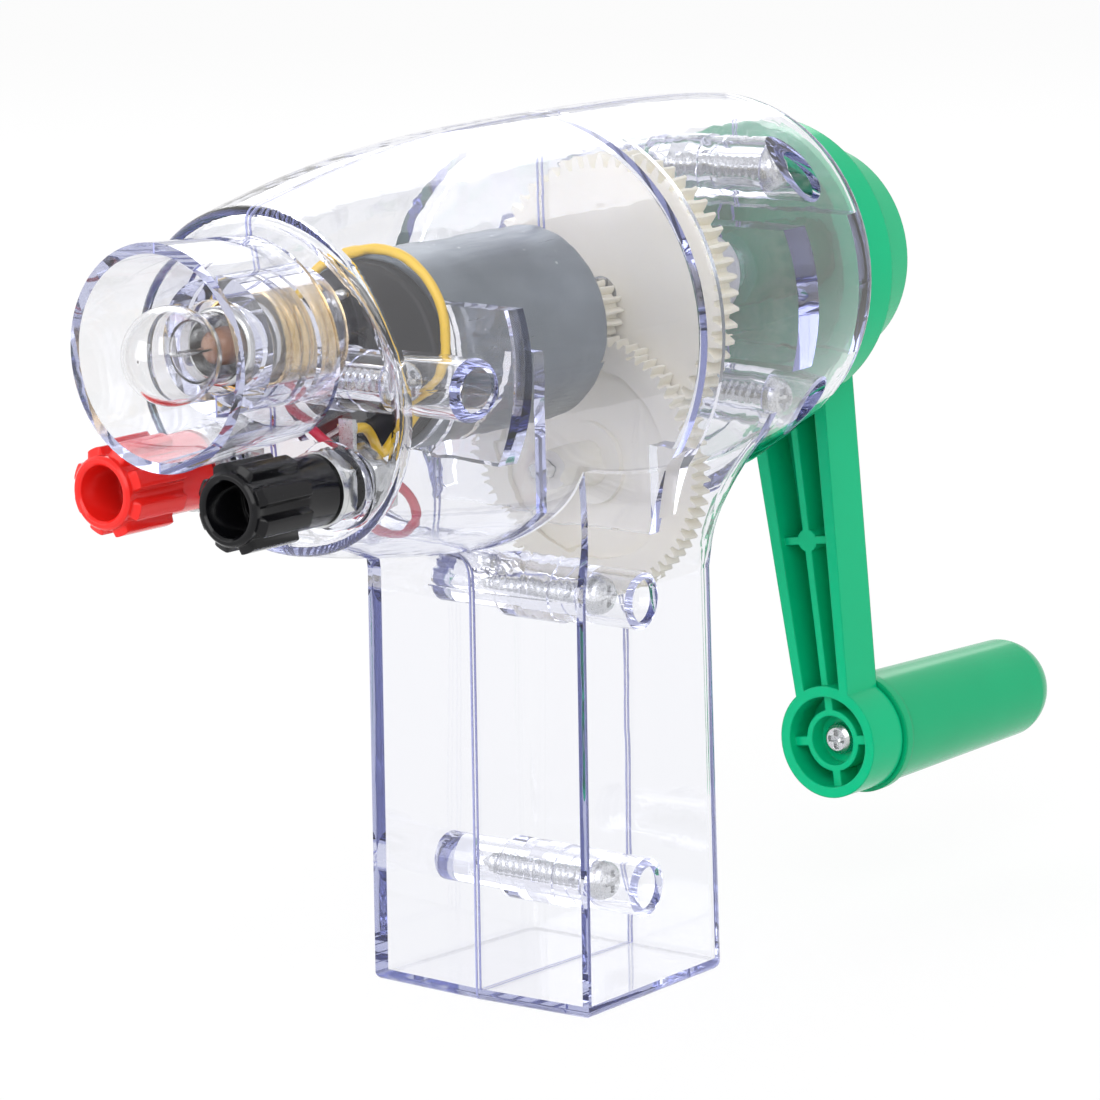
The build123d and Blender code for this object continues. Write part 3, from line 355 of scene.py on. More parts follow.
def seam_loops(node):
    """Long outlines of a half shell's joint face at y = 0, as lists of (x, z)."""
    mesh = frame["nodes"][node].data
    level = 0.05 * MM      # faces this near to y = 0 belong to the joint
    shortest = 50 * MM     # outlines that reach less far are bosses and ribs
    grid = 1e7             # points are compared in tenths of a micrometre
    flat = {}
    for face in mesh.polygons:
        if abs(face.normal.y) > 0.99 and abs(face.center.y) < level:
            for a, b in face.edge_keys:
                ends = tuple(sorted(tuple(round(c * grid) for c in mesh.vertices[end].co)
                                    for end in (a, b)))
                flat[ends] = flat.get(ends, 0) + 1
    after = {}
    for (a, b), count in flat.items():
        if count == 1:
            after.setdefault(a, []).append(b)
            after.setdefault(b, []).append(a)
    loops = []
    left = set(after)
    while left:
        start = min(left)
        loop = [start]
        left.discard(start)
        here = start
        while True:
            onward = [p for p in after[here] if p in left]
            if not onward:
                break
            here = onward[0]
            left.discard(here)
            loop.append(here)
        loops.append([Vector((p[0] * 1e-7, p[2] * 1e-7)) for p in loop])
    return [loop for loop in loops if max(p.x for p in loop) - min(p.x for p in loop) > shortest]


def block(low, high):
    """Vertices and faces of a plain strip of sheet between two corners in millimetres."""
    vertices = [((high if i & 1 else low)[0] * MM, (high if i & 2 else low)[1] * MM,
                 (high if i & 4 else low)[2] * MM) for i in range(8)]
    faces = [(0, 1, 3, 2), (4, 6, 7, 5), (0, 4, 5, 1), (2, 3, 7, 6), (0, 2, 6, 4), (1, 5, 7, 3)]
    return vertices, faces


def solder(centre, size, seed):
    """A small lump of solder: a squashed ball whose surface swells unevenly."""
    x, y, z = centre
    a, b, c = size
    rings = 14
    rows = [(cos(pi * (1 - i / rings)), sin(pi * i / rings)) for i in range(1, rings)]

    def place(s, across, up):
        return (x + a * s) * MM, (y + b * across) * MM, (z + c * up) * MM

    def swell(along, reach, angle):
        return reach * (1 + 0.12 * sin(3 * angle + seed) * cos(4 * along + seed))
    return turned(rows, place, sides=28, radius=swell)


finishes = {}


# ------------------------------------------------------------------ settings
class HousingSettings(bpy.types.PropertyGroup):
    """Clear housing and its screws."""
    absorbed: StringProperty(name="Tint", default="4660C4",
                             description="What light keeps over a long way in the plastic")
    tint_density: FloatProperty(name="Tint density", default=26.0, min=0.0,
                                description="How fast the tint grows, per metre")
    screw_pitch: FloatProperty(name="Screw pitch", description="Pitch of the housing screws in mm",
                               default=1.05, min=0.4)


class SeamSettings(bpy.types.PropertyGroup):
    """Joint line of the two half shells, drawn as a strip of painted shade."""
    seam_width: FloatProperty(name="Seam width", default=0.26, min=0.05,
                              description="Width of the line along the joint in mm")
    # colour of the painted shade along the joint
    seam_shade_colour: StringProperty(name="Seam colour", description="Colour of the line as sRGB hex",
                                default="A4A8D2")


class CrankSettings(bpy.types.PropertyGroup):
    """Green crank and grip."""
    arm_colour: StringProperty(name="Arm colour", description="Colour of the crank arm as sRGB hex",
                               default="04B67D")
    grip_colour: StringProperty(name="Grip colour", description="Colour of the grip as sRGB hex",
                                default="06A971")


class LampSettings(bpy.types.PropertyGroup):
    """Lamp, its cap and its socket."""
    thread_pitch: FloatProperty(name="Thread pitch", default=1.81, min=0.8,
                                description="Pitch of the lamp's round thread in mm")
    filament_turns: IntProperty(name="Filament turns", description="Turns of the coiled filament",
                                default=11, min=3)


class PostSettings(bpy.types.PropertyGroup):
    """Red and black binding posts."""
    red_colour: StringProperty(name="Red knob", description="Colour of the red knob as sRGB hex",
                               default="E4231D")
    black_colour: StringProperty(name="Black knob", default="0B0B0E",
                                 description="Colour of the black knob as sRGB hex")
    stud_pitch: FloatProperty(name="Stud pitch", default=0.8, min=0.3,
                              description="Pitch of the stud's threads in mm")


class LeadSettings(bpy.types.PropertyGroup):
    """Insulated leads and bare links."""
    sleeve_radius: FloatProperty(name="Sleeve radius", default=0.6, min=0.2,
                                 description="Radius of the insulated leads in mm")
    link_radius: FloatProperty(name="Link radius", description="Radius of the bare links in mm",
                               default=0.3, min=0.1)


class StageSettings(bpy.types.PropertyGroup):
    """Studio."""
    key_power: FloatProperty(name="Key light", description="Power of the large soft light",
                             default=4.5, min=0.0, subtype="POWER")
    fill_power: FloatProperty(name="Fill light", description="Power of each smaller soft light",
                              default=2.0, min=0.0, subtype="POWER")
    sky_level: FloatProperty(name="Sky level", default=0.85, min=0.0,
                             description="Strength of the even light from all round")
    floor_white: FloatProperty(name="Floor white", default=0.86, min=0.0, max=1.0, subtype="FACTOR",
                               description="Share of pure white in the floor as seen")
    clear_bounces: IntProperty(name="Bounces", default=40, min=8,
                               description="Most bounces of light in the clear walls")
    camera_place: FloatVectorProperty(name="Camera place", description="Where the camera stands",
                                      default=(0.55492, 0.43924, 0.19001), subtype="TRANSLATION",
                                      unit="LENGTH")
    lens: FloatProperty(name="Lens", description="Focal length on a 36 mm wide frame",
                        default=188.67, min=20.0, unit="CAMERA")


# ------------------------------------------------------------------ operators
class GENERATOR_OT_finishes(bpy.types.Operator):
    """Make every finish and give it to the pieces that use it"""
    bl_idname = "generator.finishes"
    bl_label = "Finishes"

    def execute(self, context):
        housing = context.scene.generator_housing
        crank = context.scene.generator_crank
        posts = context.scene.generator_posts
        # Clear polystyrene, polished tool: hard reflections, lilac where one looks along a wall.
        finishes["clear_plastic"] = clear_body(
            "clear moulded polystyrene", ior=1.55, roughness=0.012, absorbed=housing.absorbed,
            density=housing.tint_density, wave=0.05, shade="F7F7FC")
        # Glossy ABS: even green with a soft highlight.
        finishes["green_plastic"] = moulded_plastic(
            "green ABS, glossy tool", crank.arm_colour, "03AB73", roughness=0.18, ior=1.52,
            grain=0.6, edge=0.35, shine=0.15)
        # Polypropylene grip: a little softer in its gloss than the arm.
        finishes["grip_plastic"] = moulded_plastic(
            "green polypropylene grip", crank.grip_colour, "059C69", roughness=0.2, ior=1.5,
            grain=0.7, edge=0.4, shine=0.2)
        # Natural nylon gears: off-white and slightly translucent.
        finishes["ivory_plastic"] = moulded_plastic(
            "natural nylon gear", "F3EEDA", "EBE4CC", roughness=0.42, ior=1.53,
            grain=1.2, edge=0.12, cloud=0.5, depth=0.15)
        # White acetal bushes: clean white with a low gloss.
        finishes["white_plastic"] = moulded_plastic(
            "white acetal", "EFEFEC", "E4E4E0", roughness=0.35, ior=1.48, grain=0.5, edge=0.15)
        # Nylon end cap: dull black.
        finishes["black_plastic"] = moulded_plastic(
            "black nylon end cap", "131316", "1B1A1F", roughness=0.4, ior=1.53,
            grain=1.6, edge=0.2, cloud=0.5, shine=0.2)
        # ABS knobs, black and red: clean gloss.
        finishes["black_knob_plastic"] = moulded_plastic(
            "black ABS knob", posts.black_colour, "0E0E11", roughness=0.12, ior=1.54,
            grain=0.5, edge=0.25, shine=0.22)
        finishes["red_knob_plastic"] = moulded_plastic(
            "red ABS knob", posts.red_colour, "CF1815", roughness=0.18, ior=1.52,
            grain=0.5, edge=0.25, shine=0.3)
        # Zinc-plated drawn can: blue-grey satin with marks drawn along it and specks of dust.
        finishes["can_steel"] = worked_metal(
            "zinc-plated drawn steel", "757D84", "656D74", roughness=0.36,
            stretch=(0.05, 0.5, 0.5), edge=0.3, metallic=0.75, specks=0.55)
        # Ground shaft steel: bright, with fine rings.
        finishes["shaft_steel"] = worked_metal(
            "ground shaft steel", "C6C8CA", "B4B6B8", roughness=0.22,
            stretch=(1.0, 0.2, 0.2), edge=0.1)
        # Zinc-plated self-tapping screws: bright white metal.
        finishes["screw_steel"] = worked_metal(
            "zinc-plated screw steel", "D9DADB", "BFC0C0", roughness=0.25,
            stretch=(1.0, 1.0, 1.0), edge=0.08)
        # Laminated core steel: dull grey in fine layers.
        finishes["core_steel"] = worked_metal(
            "laminated core steel", "8E8B86", "6D6A66", roughness=0.4,
            stretch=(3.0, 0.2, 0.2), edge=0.1)
        # Sintered ferrite: near black, dull.
        finishes["ferrite"] = worked_metal(
            "sintered ferrite", "3A3A3D", "2C2C2E", roughness=0.6,
            stretch=(1.0, 1.0, 1.0), edge=0.2, metallic=0.2)
        # Bare copper: warm and reddish.
        finishes["copper"] = worked_metal(
            "bare copper", "D98A63", "B86B48", roughness=0.3, stretch=(1.0, 1.0, 1.0), edge=0.1)
        # Phosphor bronze: a browner gold than the brass.
        finishes["bronze"] = worked_metal(
            "phosphor bronze", "C99A5E", "A87B45", roughness=0.35,
            stretch=(1.0, 0.3, 0.3), edge=0.1)
        # Drawn brass: bright pale gold.
        finishes["brass"] = worked_metal(
            "drawn brass", "EACF98", "D8B978", roughness=0.22, stretch=(0.3, 1.0, 1.0), edge=0.1)
        # Nickel plate: bright grey.
        finishes["nickel"] = worked_metal(
            "nickel-plated brass", "D4D5D5", "BBBCBD", roughness=0.2,
            stretch=(0.5, 1.0, 1.0), edge=0.15)
        # Tinned copper and solder: pale grey with a soft shine.
        finishes["tin"] = worked_metal(
            "tinned copper", "CFD0CF", "B5B6B5", roughness=0.3, stretch=(1.0, 1.0, 1.0), edge=0.1)
        # Blown soda glass: thin, with a faint grey rim.
        finishes["lamp_glass"] = clear_body(
            "blown soda glass", ior=1.5, roughness=0.0, absorbed="8A8AA2", density=60.0,
            wave=0.0, shade="F6F6F6")
        # Pressed glass bead in the lamp's neck: brownish, glossy.
        finishes["bead_glass"] = moulded_plastic(
            "pressed glass bead", "94705C", "6E4F40", roughness=0.15, ior=1.5, grain=1.0, edge=0.1)
        # Black glass insulator under the lamp's cap: near black, glossy.
        finishes["lamp_insulator"] = moulded_plastic(
            "black vitrite", "17161A", "222026", roughness=0.12, ior=1.6, grain=1.0, edge=0.1)
        # Soft PVC sleeves: strong colour, low gloss.
        finishes["red_sleeve"] = moulded_plastic(
            "red PVC sleeve", "D32F4B", "C0223D", roughness=0.42, ior=1.53, grain=0.4, edge=0.05)
        finishes["yellow_sleeve"] = moulded_plastic(
            "yellow PVC sleeve", "E8BE1C", "DBAE12", roughness=0.42, ior=1.53,
            grain=0.4, edge=0.05)
        for row in frame["record"]["subparts"]:
            node = frame["nodes"][row["node"]]
            node.data.materials.clear()
            node.data.materials.append(finishes[row["material_slot"]])
        return {"FINISHED"}


class GENERATOR_OT_screws(bpy.types.Operator):
    """Cut threads and driver recesses for the screws of the housing, the grip and the crank"""
    bl_idname = "generator.screws"
    bl_label = "Screws"

    def execute(self, context):
        pitch = context.scene.generator_housing.screw_pitch
        # position along X, height, seat of the head, tip of the screw
        places = (
            (1.2, 50.25, 8.0, -9.0),
            (1.2, 13.86, 8.0, -9.0),
            (41.4, 82.6, 11.0, -5.0),
            (-28.8, 100.0, 13.6, -3.4),
            (-28.8, 71.4, 13.6, -3.4),
        )
        shank, core, head, thick = 1.4, 1.02, 2.6, 1.9
        point_radius, point_length = 0.3, 2.2
        flat = head * 0.56
        bodies = []
        for x, height, seat, tip in places:
            length = seat - tip
            rings = int(length / pitch * 9)
            rows = [(s, shank if s > point_length
                     else point_radius + (shank - point_radius) * s / point_length)
                    for s in steps(0.0, length, rings)]
            bodies.append(turned(rows, along_y(x, tip, height), sides=40,
                                 radius=helix(pitch, core, shank)))
            dome = [(0.0, shank - 0.2), (0.0, head), (0.35, head), (0.9, head * 0.97),
                    (1.4, head * 0.87), (1.75, head * 0.7), (thick, flat)]
            face = [(thick, flat * (1 - i / 12)) for i in range(1, 12)]
            bodies.append(turned(dome + face, along_y(x, seat, height),
                                 lift=cross_recess(thick, 1.45, 0.36, 1.1)))
        made = piece("housing_screws_threaded", joined(*bodies), "frame",
                     finishes["screw_steel"], 30.0)
        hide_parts("housing_screws")

        low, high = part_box("grip_screw")
        y = (low.y + high.y) / 2 / MM
        z = (low.z + high.z) / 2 / MM
        seat = high.x / MM - 1.5
        shaft = [(s, 1.6) for s in steps(low.x / MM, seat, 60)]
        flat = high.x / MM
        dome = [(seat, 1.4), (seat, 2.1), (seat + 0.6, 2.1), (seat + 1.1, 1.95), (flat, 1.5)]
        face = [(flat, 1.5 * (1 - i / 14)) for i in range(1, 14)]
        made = piece("grip_screw_headed", joined(
            turned(shaft, along_x(0, y, z), sides=40, radius=helix(1.2, 1.45, 1.6)),
            turned(dome + face, along_x(0, y, z), lift=cross_recess(flat, 1.2, 0.32, 0.9)),
        ), "handgrip", finishes["screw_steel"], 30.0)
        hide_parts("grip_screw")

        low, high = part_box("crank_screw")
        flat = low.x / MM
        seat = flat + 1.6
        face = [(-flat, 1.9 * (1 - i / 14)) for i in range(1, 14)]
        dome = [(-seat, 1.3), (-seat, 2.8), (-seat + 0.8, 2.8), (-seat + 1.25, 2.5), (-flat, 1.9)]
        shaft = [(-s, 1.5) for s in steps(seat, high.x / MM, 50)]

        def back(s, across, up):
            return -s * MM, across * MM, (CRANK_HEIGHT + up) * MM
        made = piece("crank_screw_headed", joined(
            turned(shaft, back, sides=40, radius=helix(0.8, 1.3, 1.5, share=0.6)),
            turned(dome + face, back, lift=cross_recess(-flat, 1.5, 0.38, 0.9)),
        ), "crank", finishes["screw_steel"], 30.0)
        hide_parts("crank_screw")
        return {"FINISHED"}


class GENERATOR_OT_lamp(bpy.types.Operator):
    """Roll the lamp's cap and its socket shell, and coil the filament"""
    bl_idname = "generator.lamp"
    bl_label = "Lamp"

    def execute(self, context):
        lamp = context.scene.generator_lamp
        pitch = lamp.thread_pitch
        axis = along_x(0, 0, LAMP_HEIGHT)

        def wave(s, angle):
            return 0.5 + 0.5 * cos(2 * pi * (s / pitch) - angle)

        # rolled brass cap, nickel plated: a rounded thread, a plain collar and a crimped lip
        rear, front = 52.0, 61.3
        thread_from, thread_to = 53.1, 59.4
        outside = [(s, 4.62) for s in steps(thread_from, thread_to, 44)]
        wall = 0.3

        def rolled(along, reach, angle):
            if thread_from - 0.01 <= along <= thread_to + 0.01 and reach > 3.9:
                ease = min(1.0, (along - thread_from) / 0.6, (thread_to - along) / 0.6)
                return reach - 0.42 * max(0.0, ease) * wave(along, angle)
            return reach
        rows = ([(rear, 2.1), (rear, 3.6), (rear + 0.35, 4.25), (rear + 0.8, 4.5)] + outside
                + [(59.8, 4.66), (60.7, 4.68), (61.1, 4.62), (front, 4.35),
                   (front, 4.2), (60.9, 4.3), (59.8, 4.36), (thread_to, 4.3), (thread_from, 3.88),
                   (rear + 0.8, 4.1), (rear + wall, 3.5), (rear + wall, 2.1)])
        made = piece("lamp_cap_rolled", turned(rows, axis, sides=72, radius=rolled, closed=True),
                     "frame", finishes["nickel"], 50.0)
        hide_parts("lamp_cap")

        # screw shell of the socket with its solder tab
        rear, front = 47.6, 57.5
        outer = 5.57

        def shell_wave(along, reach, angle):
            ease = max(0.0, min(1.0, (along - rear) / 0.8, (front - 0.5 - along) / 0.5))
            return reach - 0.45 * ease * wave(along, angle)
        out_rows = [(s, outer) for s in steps(rear, front, 60)]
        in_rows = [(s, outer - 0.28) for s in steps(front, rear, 60)]
        shell = turned(out_rows + in_rows, axis, sides=72, radius=shell_wave, closed=True)
        tab_y = -outer + 0.12
        tabs = joined(block((46.0, tab_y, 87.8), (48.8, tab_y + 0.4, 89.0)),
                      block((44.6, tab_y, 86.2), (46.1, tab_y + 0.4, 90.6)))
        made = piece("socket_shell_rolled", joined(shell, tabs), "frame",
                     finishes["brass"], 50.0)
        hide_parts("socket_shell")

        # bead, supports and coiled filament
        bead = [(57.6, 0.5), (58.0, 1.5), (58.8, 2.1), (60.0, 2.35), (61.2, 2.1), (62.0, 1.5),
                (62.5, 0.7)]
        stem = joined(turned([(52.4, 1.1), (57.8, 1.1)], axis, sides=32),
                      turned(bead, axis, sides=48))
        made = piece("lamp_stem_bead", stem, "frame", finishes["bead_glass"], 60.0)
        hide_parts("lamp_stem")
        turns = lamp.filament_turns
        points = turns * 12
        coil_radius = 0.17
        path = []
        for i in range(points + 1):
            t = i / points
            angle = 2 * pi * turns * t
            sag = 0.5 * (1 - (2 * t - 1) ** 2)
            path.append((68.0 + sag + coil_radius * cos(angle), -1.0 + 2.0 * t,
                         LAMP_HEIGHT + coil_radius * sin(angle)))
        route = [(62.0, -0.7, LAMP_HEIGHT), (65.0, -0.85, LAMP_HEIGHT), (67.8, -1.1, LAMP_HEIGHT)]
        other = [(x, -y, z) for x, y, z in reversed(route)]
        smooth_lead("lamp_support_left", route, 0.16, finishes["nickel"])
        smooth_lead("lamp_support_right", other, 0.16, finishes["nickel"])
        smooth_lead("lamp_filament", path, 0.06, finishes["shaft_steel"])
        return {"FINISHED"}


class GENERATOR_OT_posts(bpy.types.Operator):
    """Cut the binding posts' studs, nuts and knobs"""
    bl_idname = "generator.posts"
    bl_label = "Binding posts"

    def execute(self, context):
        pitch = context.scene.generator_posts.stud_pitch
        for colour, y in (("red", -POST_SPREAD), ("black", POST_SPREAD)):
            axis = along_x(0, y, POST_HEIGHT)
            thread_rows = [(s, min(2.5, 2.1 + (s - 43.6) * 0.9)) for s in steps(43.6, 52.8, 90)]
            thread = turned(thread_rows, axis, sides=48, radius=helix(pitch, 2.14, 2.5, share=0.9))
            flange = turned([(52.8, 4.35), (53.0, 4.73), (54.3, 4.73), (54.7, 4.35), (54.7, 2.9)],
                            axis, sides=72, radius=hexagon(8.2))
            sleeve_rows = ([(54.6, 3.0)] + [(s, 3.0) for s in steps(55.0, 63.4, 60)]
                           + [(63.7, 2.98), (64.0, 2.7), (64.0, 2.25), (63.8, 2.0), (52.0, 2.0)])
            front_thread = helix(pitch, 2.78, 3.0, share=0.9)

            def front_radius(along, reach, angle):
                on_thread = reach > 2.9 and 55 <= along <= 63.5
                return front_thread(along, reach, angle) if on_thread else reach
            sleeve = turned(sleeve_rows, axis, sides=56, radius=front_radius, closed=True)
            made = piece(f"{colour}_stud_threaded", joined(thread, flange, sleeve), "frame",
                         finishes["nickel"], 40.0)
            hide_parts(f"{colour}_stud")
            nut_rear, nut_front = 45.5, 48.5
            rows = [(nut_rear, 2.5), (nut_rear, 3.75), (nut_rear + 0.45, 4.51),
                    (nut_front - 0.3, 4.51), (nut_front, 4.1), (nut_front, 2.5)]
            nut = turned(rows, axis, sides=72, radius=hexagon(7.8), closed=True)
            made = piece(f"{colour}_nut_chamfered", nut, "frame",
                         finishes["nickel"], 30.0)
            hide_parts(f"{colour}_nut")

            # knob: smooth collar, eight flutes that stop short of it, and a lip round the mouth
            low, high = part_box(f"{colour}_knob")
            rear, front = low.x / MM, high.x / MM
            bore_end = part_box(f"{colour}_stud")[1].x / MM + 0.4
            crest, root, collar, bore, mouth = 5.38, 4.25, 4.25, 3.15, 3.3
            step = rear + (front - rear) * 0.38
            rows = [(rear, bore), (rear, 3.9), (rear + 0.35, collar), (step - 0.5, collar),
                    (step, collar + 0.1), (step + 0.35, crest), (front - 2.0, crest),
                    (front - 1.3, crest), (front - 0.9, 4.4), (front - 0.35, 4.38), (front, 4.05),
                    (front, 3.6), (front - 0.3, mouth), (bore_end, mouth), (bore_end, bore)]
            knob = turned(rows, axis, sides=128, radius=fluted(crest, root, 8), closed=True)
            slot = f"{colour}_knob_plastic"
            made = piece(f"{colour}_knob_fluted", knob, f"{colour}_post_knob",
                         finishes[slot], 40.0)
            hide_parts(f"{colour}_knob")
        return {"FINISHED"}


class GENERATOR_OT_seam(bpy.types.Operator):
    """Draw the joint line of the half shells as a strip of painted shade, flush with the outside"""
    bl_idname = "generator.seam"
    bl_label = "Seam"

    def execute(self, context):
        seam = context.scene.generator_seam
        # Mating edges are never quite sharp, so the joint scatters light and reads as a lilac line;
        # that line of light and shade is painted here as a matt lilac strip.
        finish = moulded_plastic("painted seam shade", seam.seam_shade_colour, "8F94C6",
                                 roughness=0.4, ior=1.5, grain=1.0, edge=0.05)
        half = seam.seam_width / 2 * MM
        deep = seam.seam_width * MM
        inset = 0.02  # how far the line lies below the outside, in mm
        lines = []
        for loop in seam_loops("left_housing"):
            count = len(loop)
            area = sum(loop[i - 1].x * loop[i].y - loop[i].x * loop[i - 1].y for i in range(count))
            side = 1.0 if area > 0 else -1.0
            vertices = []
            for i, point in enumerate(loop):
                along = (loop[(i + 1) % count] - loop[i - 1]).normalized()
                inward = Vector((-along.y, along.x)) * side
                outer = point + inward * inset * MM
                inner = point + inward * deep
                vertices += [(outer.x, -half, outer.y), (outer.x, half, outer.y),
                             (inner.x, half, inner.y), (inner.x, -half, inner.y)]
            faces = [(i * 4 + k, i * 4 + (k + 1) % 4,
                      (i + 1) % count * 4 + (k + 1) % 4, (i + 1) % count * 4 + k)
                     for i in range(count) for k in range(4)]
            lines.append((vertices, faces))
        piece("housing_seam_line", joined(*lines), "frame", finish, 60.0)
        return {"FINISHED"}


class GENERATOR_OT_leads(bpy.types.Operator):
    """Run the insulated leads, the bare links and their solder"""
    bl_idname = "generator.leads"
    bl_label = "Leads"

    def execute(self, context):
        settings = context.scene.generator_leads
        red_route = (
            (46.27, -2.2, 80.38), (46.27, -2.2, 78.9), (46.8, 2.2, 77.4), (46.6, 4.5, 75.7),
            (43.4, 5.0, 73.6), (41.0, 5.0, 72.4), (37.4, 5.0, 69.7), (33.7, 5.0, 67.9),
            (31.6, 5.0, 64.5), (33.6, 5.0, 62.7), (37.6, 4.6, 63.1), (41.2, 4.2, 65.6),
            (44.6, 2.6, 66.2), (46.2, -2.2, 66.4), (47.0, -4.7, 66.7), (48.49, -4.7, 66.7),
        )
        yellow_route = (
            (48.49, 9.7, 78.0), (46.4, 9.7, 78.0), (44.6, 9.0, 77.6), (42.4, 8.2, 76.0),
            (40.9, 8.0, 73.2), (38.4, 8.9, 76.6), (37.3, 10.7, 79.9), (35.4, 12.2, 82.3),
            (34.7, 12.1, 85.6), (34.7, 11.9, 90.3), (34.7, 9.3, 94.2), (34.7, 5.4, 96.5),
            (34.7, 0.6, 96.8), (34.7, -3.2, 95.8), (35.2, -6.4, 94.2), (36.8, -6.6, 91.6),
            (40.6, -6.2, 89.8), (44.6, -5.4, 89.7),
        )
        upper_link = (
            (38.0, 0.0, 91.9), (39.8, -0.6, 91.8), (42.2, -4.4, 89.0), (43.2, -5.4, 87.4),
            (44.6, -5.4, 87.3),
        )
        lower_link = (
            (38.0, 0.0, 75.9), (40.2, -0.4, 75.6), (44.2, -3.6, 71.0), (45.2, -5.2, 68.6),
            (46.8, -5.7, 67.7), (48.5, -5.7, 67.7),
        )
        made = smooth_lead("red_lead_run", red_route, settings.sleeve_radius,
                           finishes["red_sleeve"])
        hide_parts("red_lead")
        made = smooth_lead("yellow_lead_run", yellow_route, settings.sleeve_radius,
                           finishes["yellow_sleeve"])
        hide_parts("yellow_lead")
        made = smooth_lead("upper_link_run", upper_link, settings.link_radius,
                           finishes["tin"])
        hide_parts("motor_links")
        smooth_lead("lower_link_run", lower_link, settings.link_radius, finishes["tin"])
        # centre and half size of each lump of solder
        lumps = (
            ((46.3, -2.2, 80.6), (0.9, 0.8, 0.9)),
            ((48.2, -4.9, 66.9), (0.6, 1.2, 1.0)),
            ((48.2, 9.7, 78.2), (0.6, 0.9, 1.1)),
            ((45.2, -5.4, 89.7), (0.9, 0.5, 0.9)),
            ((45.2, -5.4, 87.4), (0.9, 0.5, 0.8)),
            ((38.0, 0.0, 91.9), (0.8, 0.9, 0.6)),
            ((38.0, 0.0, 75.9), (0.8, 0.9, 0.6)),
        )
        shapes = [solder(centre, size, 1.7 * i) for i, (centre, size) in enumerate(lumps)]
        piece("solder_joints", joined(*shapes), "frame", finishes["tin"], 60.0)
        return {"FINISHED"}


class GENERATOR_OT_stage(bpy.types.Operator):
    """Set up the floor, the soft light, the white surround and the camera"""
    bl_idname = "generator.stage"
    bl_label = "Stage"

    def execute(self, context):
        scene = context.scene
        stage = scene.generator_stage
        scene.view_settings.view_transform = "Standard"
        # Light goes round many times inside clear walls before it finds a way out.
        scene.cycles.max_bounces = stage.clear_bounces
        scene.cycles.glossy_bounces = stage.clear_bounces
        scene.cycles.transmission_bounces = stage.clear_bounces

        # Matt floor: its colour carries the object's shadow, and it is white where the eye looks.
        material, tree = new_material("matt white floor")
        base = add(tree, "ShaderNodeBsdfDiffuse", {"Color": linear("F4F4F4")})
        share = add(tree, "ShaderNodeMath", {"operation": "MULTIPLY", 1: stage.floor_white},
                    {0: (looked_at(tree), "Value")})
        glow = add(tree, "ShaderNodeEmission", {"Color": (1, 1, 1, 1), "Strength": 1.0})
        both = add(tree, "ShaderNodeMixShader", {},
                   {0: (share, "Value"), 1: (base, "BSDF"), 2: (glow, "Emission")})
        add(tree, "ShaderNodeOutputMaterial", {}, {"Surface": (both, "Shader")})
        reach = 12.0  # metres from the middle to each side
        corners = [(-reach, -reach, 0), (reach, -reach, 0), (reach, reach, 0), (-reach, reach, 0)]
        mesh = bpy.data.meshes.new("floor")
        mesh.from_pydata(corners, [], [(0, 1, 2, 3)])
        mesh.materials.append(material)
        floor = bpy.data.objects.new("floor", mesh)
        floor.location.z = -0.05 * MM
        scene.collection.objects.link(floor)

        world = bpy.data.worlds.new("white surround")
        world.use_nodes = True
        tree = world.node_tree
        tree.nodes.clear()
        even = add(tree, "ShaderNodeBackground",
                   {"Color": (1, 1, 1, 1), "Strength": stage.sky_level})
        white = add(tree, "ShaderNodeBackground", {"Color": (1, 1, 1, 1), "Strength": 1.0})
        mixed = add(tree, "ShaderNodeMixShader", {},
                    {0: (looked_at(tree), "Value"), 1: (even, "Background"),
                     2: (white, "Background")})
        add(tree, "ShaderNodeOutputWorld", {}, {"Surface": (mixed, "Shader")})
        scene.world = world

        middle = Vector((-0.01, 0.0, 0.06))
        # name, place, side of the square, power
        lamps = (
            ("key_light", (0.72, 0.42, 0.6), 0.7, stage.key_power),
            ("left_fill", (0.7, -0.4, 0.25), 0.5, stage.fill_power),
            ("back_fill", (-0.6, -0.5, 0.6), 0.6, stage.fill_power),
        )
        for name, place, size, power in lamps:
            light = bpy.data.lights.new(name, "AREA")
            light.shape = "SQUARE"
            light.size = size
            light.energy = power
            lamp = bpy.data.objects.new(name, light)
            lamp.location = place
            aim = middle - lamp.location
            lamp.rotation_euler = aim.to_track_quat("-Z", "Y").to_euler()
            scene.collection.objects.link(lamp)

        # the camera stands at this azimuth and height angle from the object, and leans a little
        azimuth, pitch, roll = radians(38.34), radians(10.82), radians(-0.85)
        back = Vector((cos(pitch) * cos(azimuth), cos(pitch) * sin(azimuth), sin(pitch)))
        right = Vector((-sin(azimuth), cos(azimuth), 0.0))
        up = back.cross(right)
        side = cos(roll) * right + sin(roll) * up
        top = -sin(roll) * right + cos(roll) * up
        turn = Matrix((side, top, back)).transposed()
        data = bpy.data.cameras.new("camera")
        data.sensor_width = 36.0
        data.lens = stage.lens
        data.clip_start = 0.01
        data.clip_end = 50.0
        camera = bpy.data.objects.new("camera", data)
        camera.matrix_world = Matrix.Translation(Vector(stage.camera_place)) @ turn.to_4x4()
        scene.collection.objects.link(camera)
        scene.camera = camera
        return {"FINISHED"}


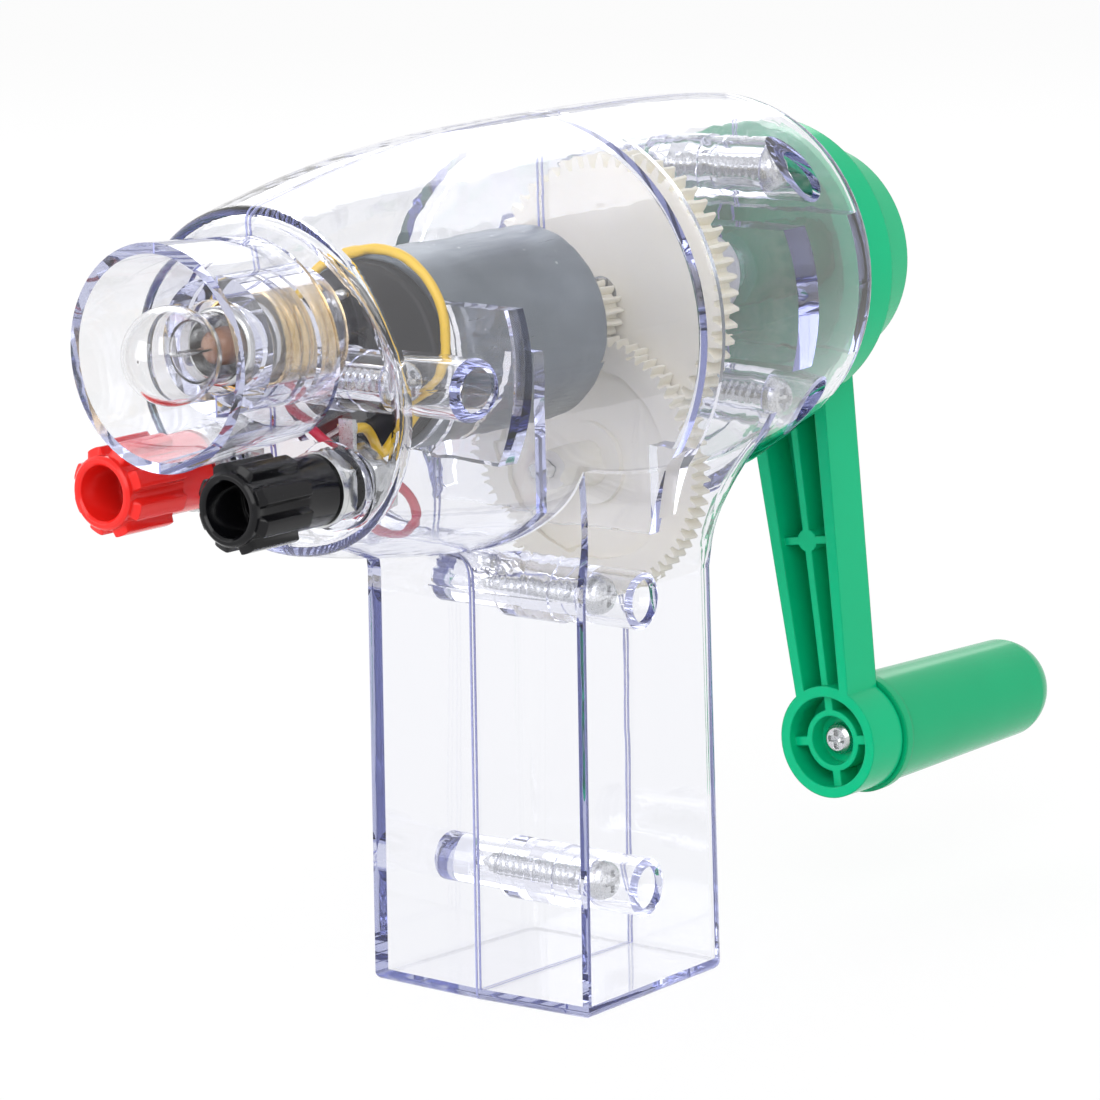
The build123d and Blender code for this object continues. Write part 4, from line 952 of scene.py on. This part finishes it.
class GENERATOR_PT_panel(bpy.types.Panel):
    """Buttons and sizes of the generator"""
    bl_idname = "GENERATOR_PT_panel"
    bl_label = "Hand crank generator"
    bl_space_type = "VIEW_3D"
    bl_region_type = "UI"
    bl_category = "Generator"

    def draw(self, context):
        for title, group, operators in PANEL_ROWS:
            box = self.layout.box()
            box.label(text=title)
            settings = getattr(context.scene, group)
            for key in settings.__annotations__:
                box.prop(settings, key)
            for operator in operators:
                box.operator(operator)


PANEL_ROWS = (
    ("Housing and finishes", "generator_housing", ("generator.finishes", "generator.screws")),
    ("Seam", "generator_seam", ("generator.seam",)),
    ("Crank", "generator_crank", ()),
    ("Lamp", "generator_lamp", ("generator.lamp",)),
    ("Binding posts", "generator_posts", ("generator.posts",)),
    ("Leads", "generator_leads", ("generator.leads",)),
    ("Stage", "generator_stage", ("generator.stage",)),
)
SETTINGS = (
    ("generator_housing", HousingSettings),
    ("generator_seam", SeamSettings),
    ("generator_crank", CrankSettings),
    ("generator_lamp", LampSettings),
    ("generator_posts", PostSettings),
    ("generator_leads", LeadSettings),
    ("generator_stage", StageSettings),
)
OPERATORS = (
    GENERATOR_OT_finishes,
    GENERATOR_OT_screws,
    GENERATOR_OT_seam,
    GENERATOR_OT_lamp,
    GENERATOR_OT_posts,
    GENERATOR_OT_leads,
    GENERATOR_OT_stage,
)


def register():
    """Register the settings, the operators and the panel."""
    for name, group in SETTINGS:
        bpy.utils.register_class(group)
        setattr(bpy.types.Scene, name, bpy.props.PointerProperty(type=group))
    for operator in OPERATORS:
        bpy.utils.register_class(operator)
    bpy.utils.register_class(GENERATOR_PT_panel)


def unregister():
    """Take back everything that register added."""
    bpy.utils.unregister_class(GENERATOR_PT_panel)
    for operator in reversed(OPERATORS):
        bpy.utils.unregister_class(operator)
    for name, group in reversed(SETTINGS):
        delattr(bpy.types.Scene, name)
        bpy.utils.unregister_class(group)


def main():
    """Build the whole scene."""
    register()
    bpy.ops.generator.finishes()
    bpy.ops.generator.stage()
    bpy.ops.generator.screws()
    bpy.ops.generator.seam()
    bpy.ops.generator.lamp()
    bpy.ops.generator.posts()
    bpy.ops.generator.leads()
    bpy.context.view_layer.update()


if __name__ == "__main__":
    main()
